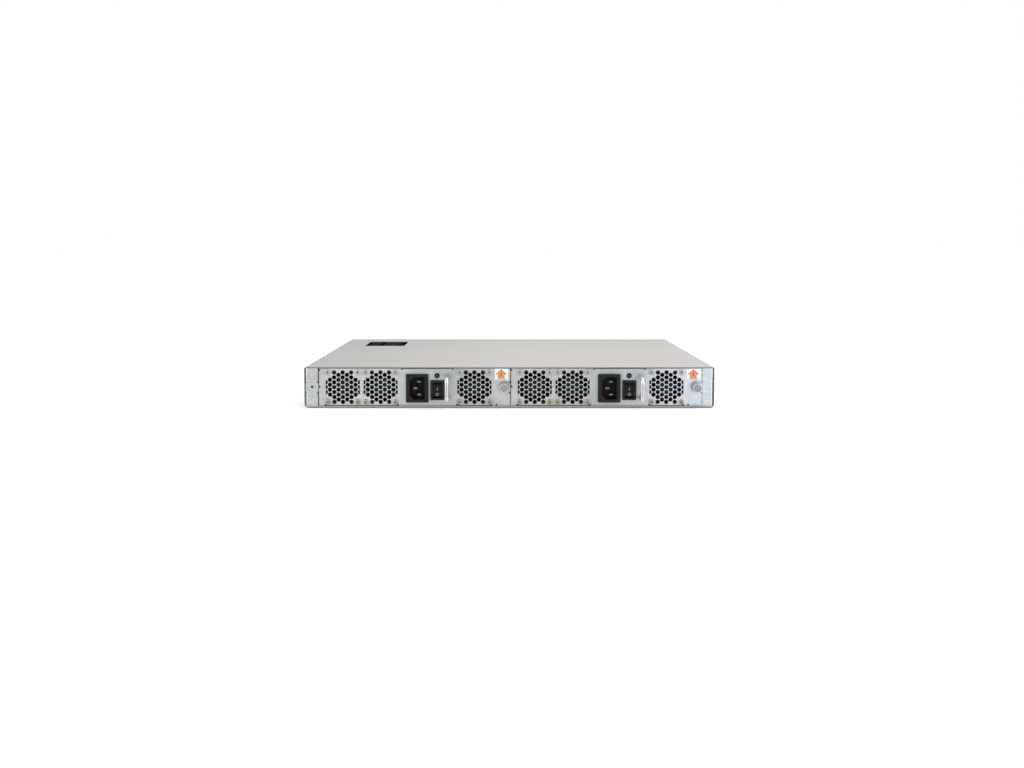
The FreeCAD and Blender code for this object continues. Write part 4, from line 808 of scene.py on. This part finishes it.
# Spring fingers round the mouth of a cage, in millimetres
FINGER_THICK = 0.35
FINGER_WIDE = 2.2
FINGER_STEP = 3.6
FINGERS_UP = 5


def cage_fingers(cage):
    """Row of spring fingers round the mouth of a cage, bearing on the panel's cut-out."""
    low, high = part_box(f"sfp_cages_{cage}")
    x, z = (low.x / MM, high.x / MM), (low.z / MM, high.z / MM)
    deep = ((PORT_FACE + LIFT) / MM, high.y / MM - 0.1)

    def fingers(shape):
        for across in evenly(x, int((x[1] - x[0]) / FINGER_STEP), FINGER_WIDE):
            for edge in (z[0] - FINGER_THICK, z[1]):
                block(shape, across, deep, (edge, edge + FINGER_THICK))
        for up in evenly(z, FINGERS_UP, FINGER_WIDE):
            for edge in (x[0] - FINGER_THICK, x[1]):
                block(shape, (edge, edge + FINGER_THICK), deep, up)

    new_piece(f"cage_fingers_{cage}", "chassis", MATERIALS["bright_steel"], fingers)


# Triangles: sideways from the port's middle, and up from its lower edge, in millimetres
MARK_SIDE = 3.4
MARK_HALF = 0.8
MARK_HIGH = 1.4
LOWER_MARK = -3.5
UPPER_MARK = PORT_TALL + 8.5


def port_arrows(cage):
    """Beside each port's number, a triangle that points at the port."""

    def marks(shape):
        for x, z, column, row in ports(cage):
            middle = x + PORT_SIDE / 2 + MARK_SIDE
            base = z + (UPPER_MARK if row else LOWER_MARK)
            tip = base + (-MARK_HIGH if row else MARK_HIGH)
            outline = [(middle - MARK_HALF, base), (middle + MARK_HALF, base), (middle, tip)]
            prism(shape, [outline], behind_ports, LIFT, PRINT / 2)

    new_piece(f"port_arrows_{cage}", "chassis", PRINT_BLACK, marks)


# Numbers: up from the port's lower edge, in millimetres
NUMBER_SIZE = 2.4
LOWER_NUMBER = -3.6
UPPER_NUMBER = PORT_TALL + 6.9


def number(text, x, z):
    """A printed number on the port face, read from behind the chassis."""
    curve = bpy.data.curves.new("number", "FONT")
    curve.body = text
    curve.size = NUMBER_SIZE * MM
    curve.align_x = "CENTER"
    curve.extrude = PRINT / 4
    source = bpy.data.objects.new("number", curve)
    bpy.context.scene.collection.objects.link(source)
    bpy.context.view_layer.update()
    mesh = bpy.data.meshes.new_from_object(source)
    bpy.data.objects.remove(source)
    facing = Matrix.Rotation(math.pi, 4, "Z") @ Matrix.Rotation(math.pi / 2, 4, "X")
    mesh.transform(Matrix.Translation(behind_ports(x, z, PRINT / 4)) @ facing)
    mesh.materials.clear()
    mesh.materials.append(PRINT_BLACK)
    item = bpy.data.objects.new(f"port_number_{text}", mesh)
    bpy.context.scene.collection.objects.link(item)
    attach(item, "chassis")


def port_numbers():
    """From 0 at the left, seen from behind: even numbers on the upper ports, odd on the lower."""
    for cage in CAGES:
        for x, z, column, row in ports(cage):
            place = PORT_COLUMNS * cage - 1 - column
            value = 2 * place + (1 - row)
            number(str(value), x + PORT_SIDE / 2, z + (UPPER_NUMBER if row else LOWER_NUMBER))


# Network jacks, in millimetres; heights are above the board and depths behind the panel
JACK_CENTRES = (182.0, 164.0)
BOARD_TOP = 8.6
JACK_HALF = 6.0
JACK_HEIGHTS = (1.9, 11.9)
JACK_DEPTH = 14.1
JACK_PINS = 8
JACK_PIN_LEFT = -3.75
JACK_PIN_STEP = 1.02
JACK_PIN_WIDE = 0.35
JACK_PIN_HEIGHT = 5.1
JACK_PIN_DEPTHS = (12, 3)
JACK_PIN_LEAN = -24


def jack_fittings():
    """Dark liner and eight sloping contacts in each network jack."""
    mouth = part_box("network_jacks")[1].y - 0.05 * MM

    def inside(face):
        near = min(abs(face.center.x / MM - x) for x in JACK_CENTRES)
        height = face.center.z / MM - BOARD_TOP
        in_outline = near < JACK_HALF and JACK_HEIGHTS[0] < height < JACK_HEIGHTS[1]
        return in_outline and PORT_FACE - JACK_DEPTH * MM < face.center.y < mouth

    def contacts(shape):
        deep = [PORT_Y - depth for depth in JACK_PIN_DEPTHS]
        foot = BOARD_TOP + JACK_PIN_HEIGHT
        turn = Matrix.Rotation(math.radians(JACK_PIN_LEAN), 4, "X")
        for x in JACK_CENTRES:
            for pin in range(JACK_PINS):
                left = x + JACK_PIN_LEFT + JACK_PIN_STEP * pin
                block(shape, (left, left + JACK_PIN_WIDE), deep, (foot, foot + JACK_PIN_WIDE), turn)

    repaint("network_jacks", MATERIALS["black_plastic"], inside)
    new_piece("jack_contacts", "chassis", GOLD, contacts)


# USB port, in millimetres; heights are above the port's underside and depths behind the panel
USB_X = 143.0
TONGUE_HALF = 5.7
TONGUE_HEIGHTS = (3.95, 5.75)
USB_PINS = 4
USB_PIN_LEFT = -4.0
USB_PIN_STEP = 2.35
USB_PIN_WIDE = 1.0
USB_PIN_DEPTHS = (8, 1.6)
USB_PIN_HEIGHTS = (-0.1, 0.05)


def usb_fittings():
    """Dark tongue and its four contacts."""
    low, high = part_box("usb_port")
    foot, top = [low.z + height * MM for height in TONGUE_HEIGHTS]
    mouth = high.y - 0.5 * MM

    def on_tongue(face):
        across = abs(face.center.x / MM - USB_X) < TONGUE_HALF
        return across and foot < face.center.z < top and low.y < face.center.y < mouth

    def contacts(shape):
        deep = [PORT_Y - depth for depth in USB_PIN_DEPTHS]
        up = [foot / MM + height for height in USB_PIN_HEIGHTS]
        for pin in range(USB_PINS):
            left = USB_X + USB_PIN_LEFT + USB_PIN_STEP * pin
            block(shape, (left, left + USB_PIN_WIDE), deep, up)

    repaint("usb_port", MATERIALS["black_plastic"], on_tongue)
    new_piece("usb_contacts", "chassis", GOLD, contacts)


# Pan head: shares of its radius and height up its side, and its cross recess as shares of them
HEAD_PROFILE = ((1.0, 0.0), (1.0, 0.45), (0.86, 0.85), (0.6, 1.0))
CROSS_HALF = 0.1
CROSS_ARM = 0.5
CROSS_FLOOR = 0.3
CROSS_TAPER = 0.8


def cross(half, arm):
    """Outline of a cross, from the lower arm and anticlockwise."""
    points = []
    for quarter in range(4):
        angle = math.radians(90 * quarter)
        for a, b in ((-half, -arm), (half, -arm), (half, -half)):
            across = a * math.cos(angle) - b * math.sin(angle)
            points.append((across, a * math.sin(angle) + b * math.cos(angle)))
    return points


def loop_edges(verts):
    """The edges of a closed row of vertices."""
    found = []
    for first, second in zip(verts, verts[1:] + verts[:1]):
        found += [edge for edge in first.link_edges if edge.other_vert(first) == second][:1]
    return found


def pan_head(shape, spot, x, z, radius, high):
    """Low domed head with a cross recess."""

    def row(points, level):
        return [shape.verts.new(spot(a, b, level * high)) for a, b in points]

    def wall(first, second):
        for n in range(len(first)):
            shape.faces.new((first[n - 1], first[n], second[n], second[n - 1]))

    rings = [row(circle(x, z, radius * share), level) for share, level in HEAD_PROFILE]
    for first, second in zip(rings, rings[1:]):
        wall(first, second)
    shape.faces.new(rings[0])
    mouth = cross(radius * CROSS_HALF, radius * CROSS_ARM)
    inner = row([(x + a, z + b) for a, b in mouth], 1.0)
    floor = row([(x + a * CROSS_TAPER, z + b * CROSS_TAPER) for a, b in mouth], CROSS_FLOOR)
    wall(inner, floor)
    shape.faces.new(floor)
    bmesh.ops.bridge_loops(shape, edges=loop_edges(rings[-1]) + loop_edges(inner))


# Screws of the port panel: X and Z, and the radius of a head, in millimetres
PANEL_SCREWS = ((-210.5, 12), (-210.5, 31), (209, 12), (209, 31), (56, 38.2), (-16, 38.2), (-88.5, 38.2))
PANEL_HEAD = 2.4
PANEL_HEAD_HIGH = 0.9 * MM


def panel_screws():
    """Screws that hold the port panel and its upper edge."""

    def heads(shape):
        for x, z in PANEL_SCREWS:
            pan_head(shape, behind_ports, x, z, PANEL_HEAD, PANEL_HEAD_HIGH)

    new_piece("panel_screws", "chassis", MATERIALS["screw_zinc"], heads)


# ---------------------------------------------------------------- module's case


# The lid's label in millimetres from the lid's front left corner, and its lines of print
LID_LABEL = ((50, 70), (120, 120))
LINE_WIDTHS = (58, 44, 52, 30, 56, 40, 22)
LINE_LEFT = 54
LINE_TOP = 114
LINE_STEP = 6
LINE_HALF = 1.2
RIVET_COLUMNS = (4, 184)
RIVET_ROWS = range(12, 200, 35)
RIVET_RADIUS = 1.6
RIVET_HIGH = 0.35 * MM


def lid_details(side):
    """On the module's lid: a plain rating label with lines of print, and rivets along its edges."""
    low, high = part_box(f"{side}_psu_lid")
    left, front = low.x / MM, low.y / MM
    body = f"{side}_psu"

    def spot(x, y, out):
        return Vector(((left + x) * MM, (front + y) * MM, high.z + out))

    def lines(shape):
        for row, width in enumerate(LINE_WIDTHS):
            y = LINE_TOP - LINE_STEP * row
            line = rounded((LINE_LEFT, y - LINE_HALF), (LINE_LEFT + width, y + LINE_HALF), 0.3)
            prism(shape, [line], spot, PRINT, 1.1 * PRINT)

    def rivets(shape):
        for x in RIVET_COLUMNS:
            for y in RIVET_ROWS:
                prism(shape, [circle(x, y, RIVET_RADIUS)], spot, LIFT, RIVET_HIGH)

    add_prism(f"{side}_lid_label", body, LABEL_WHITE, [rounded(*LID_LABEL, 1.0)], spot, LIFT, PRINT)
    new_piece(f"{side}_lid_print", body, PRINT_GREY, lines)
    new_piece(f"{side}_lid_rivets", body, MATERIALS["bright_steel"], rivets)


# ---------------------------------------------------------------- camera, light and floor


# Camera, from the photographed perspective: distances are from the power face and the cover.
CAMERA_BACK = 1.4193
CAMERA_UP = 0.1261
CAMERA_SIDE = -0.0029
CAMERA_PITCH = 5.8
CAMERA_LENS = 46.793
CAMERA_SENSOR = 36.0
CAMERA_SHIFT = 0.00527

# Name, place, target, width, height and power of each light
LIGHTS = (
    ("overhead", (0.7, -0.1, 1.5), (0.1, 0, 0), 1.2, 0.9, 5),
    ("left_panel", (-1.6, -0.75, 0.5), (0, -0.2, 0), 0.5, 1.2, 9),
    ("right_panel", (1.6, -0.75, 0.5), (0, -0.2, 0), 0.5, 1.2, 9),
)
FLOOR_GAP = 0.8 * MM  # below the tray
FLOOR_REACH = 30.0  # to each side, in metres


def area_light(name, place, target, width, height, power):
    """A rectangular light at a place, aimed at a target."""
    light = bpy.data.lights.new(name, "AREA")
    light.shape = "RECTANGLE"
    light.size, light.size_y = width, height
    light.energy = power
    item = bpy.data.objects.new(name, light)
    bpy.context.scene.collection.objects.link(item)
    item.location = place
    aim = Vector(target) - Vector(place)
    item.rotation_euler = aim.to_track_quat("-Z", "Y").to_euler()


def studio():
    """White surround, a soft light overhead and a tall panel at each side."""
    scene = bpy.context.scene
    scene.view_settings.view_transform = "Standard"
    world = bpy.data.worlds.new("studio")
    world.use_nodes = True
    background = world.node_tree.nodes["Background"]
    background.inputs["Color"].default_value = (1, 1, 1, 1)
    background.inputs["Strength"].default_value = 1.0
    scene.world = world
    for light in LIGHTS:
        area_light(*light)


def floor():
    """Pale floor, a little below the tray, as if it stood on low feet."""
    mesh = bpy.data.meshes.new("floor")
    level = CAD_BOX[0][2] - FLOOR_GAP
    signs = ((-1, -1), (1, -1), (1, 1), (-1, 1))
    corners = [(FLOOR_REACH * x, FLOOR_REACH * y, level) for x, y in signs]
    mesh.from_pydata(corners, [], [(0, 1, 2, 3)])
    mesh.materials.append(FLOOR)
    item = bpy.data.objects.new("floor", mesh)
    bpy.context.scene.collection.objects.link(item)


def camera():
    """Seen from in front and a little above, at the power face's centre."""
    data = bpy.data.cameras.new("camera")
    data.sensor_width = CAMERA_SENSOR
    data.lens = CAMERA_LENS
    data.shift_x = CAMERA_SHIFT
    item = bpy.data.objects.new("camera", data)
    bpy.context.scene.collection.objects.link(item)
    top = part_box("top_cover")[1].z
    item.location = (CAMERA_SIDE, POWER_FACE - CAMERA_BACK, top + CAMERA_UP)
    item.rotation_euler = (math.radians(90 - CAMERA_PITCH), 0, 0)
    bpy.context.scene.camera = item


# ---------------------------------------------------------------- making


dress_nodes()
bright_seam()
for side in SIDES:
    airflow_label(side)
    rocker_marks(side)
    hidden_edges(side)
    knob(side)
    screw_recesses(side)
    led_lens(side)
    inlet_rib(side)
    lid_details(side)
for cage in CAGES:
    port_fittings(cage)
    cage_fingers(cage)
    port_arrows(cage)
port_numbers()
jack_fittings()
usb_fittings()
panel_screws()
studio()
floor()
camera()
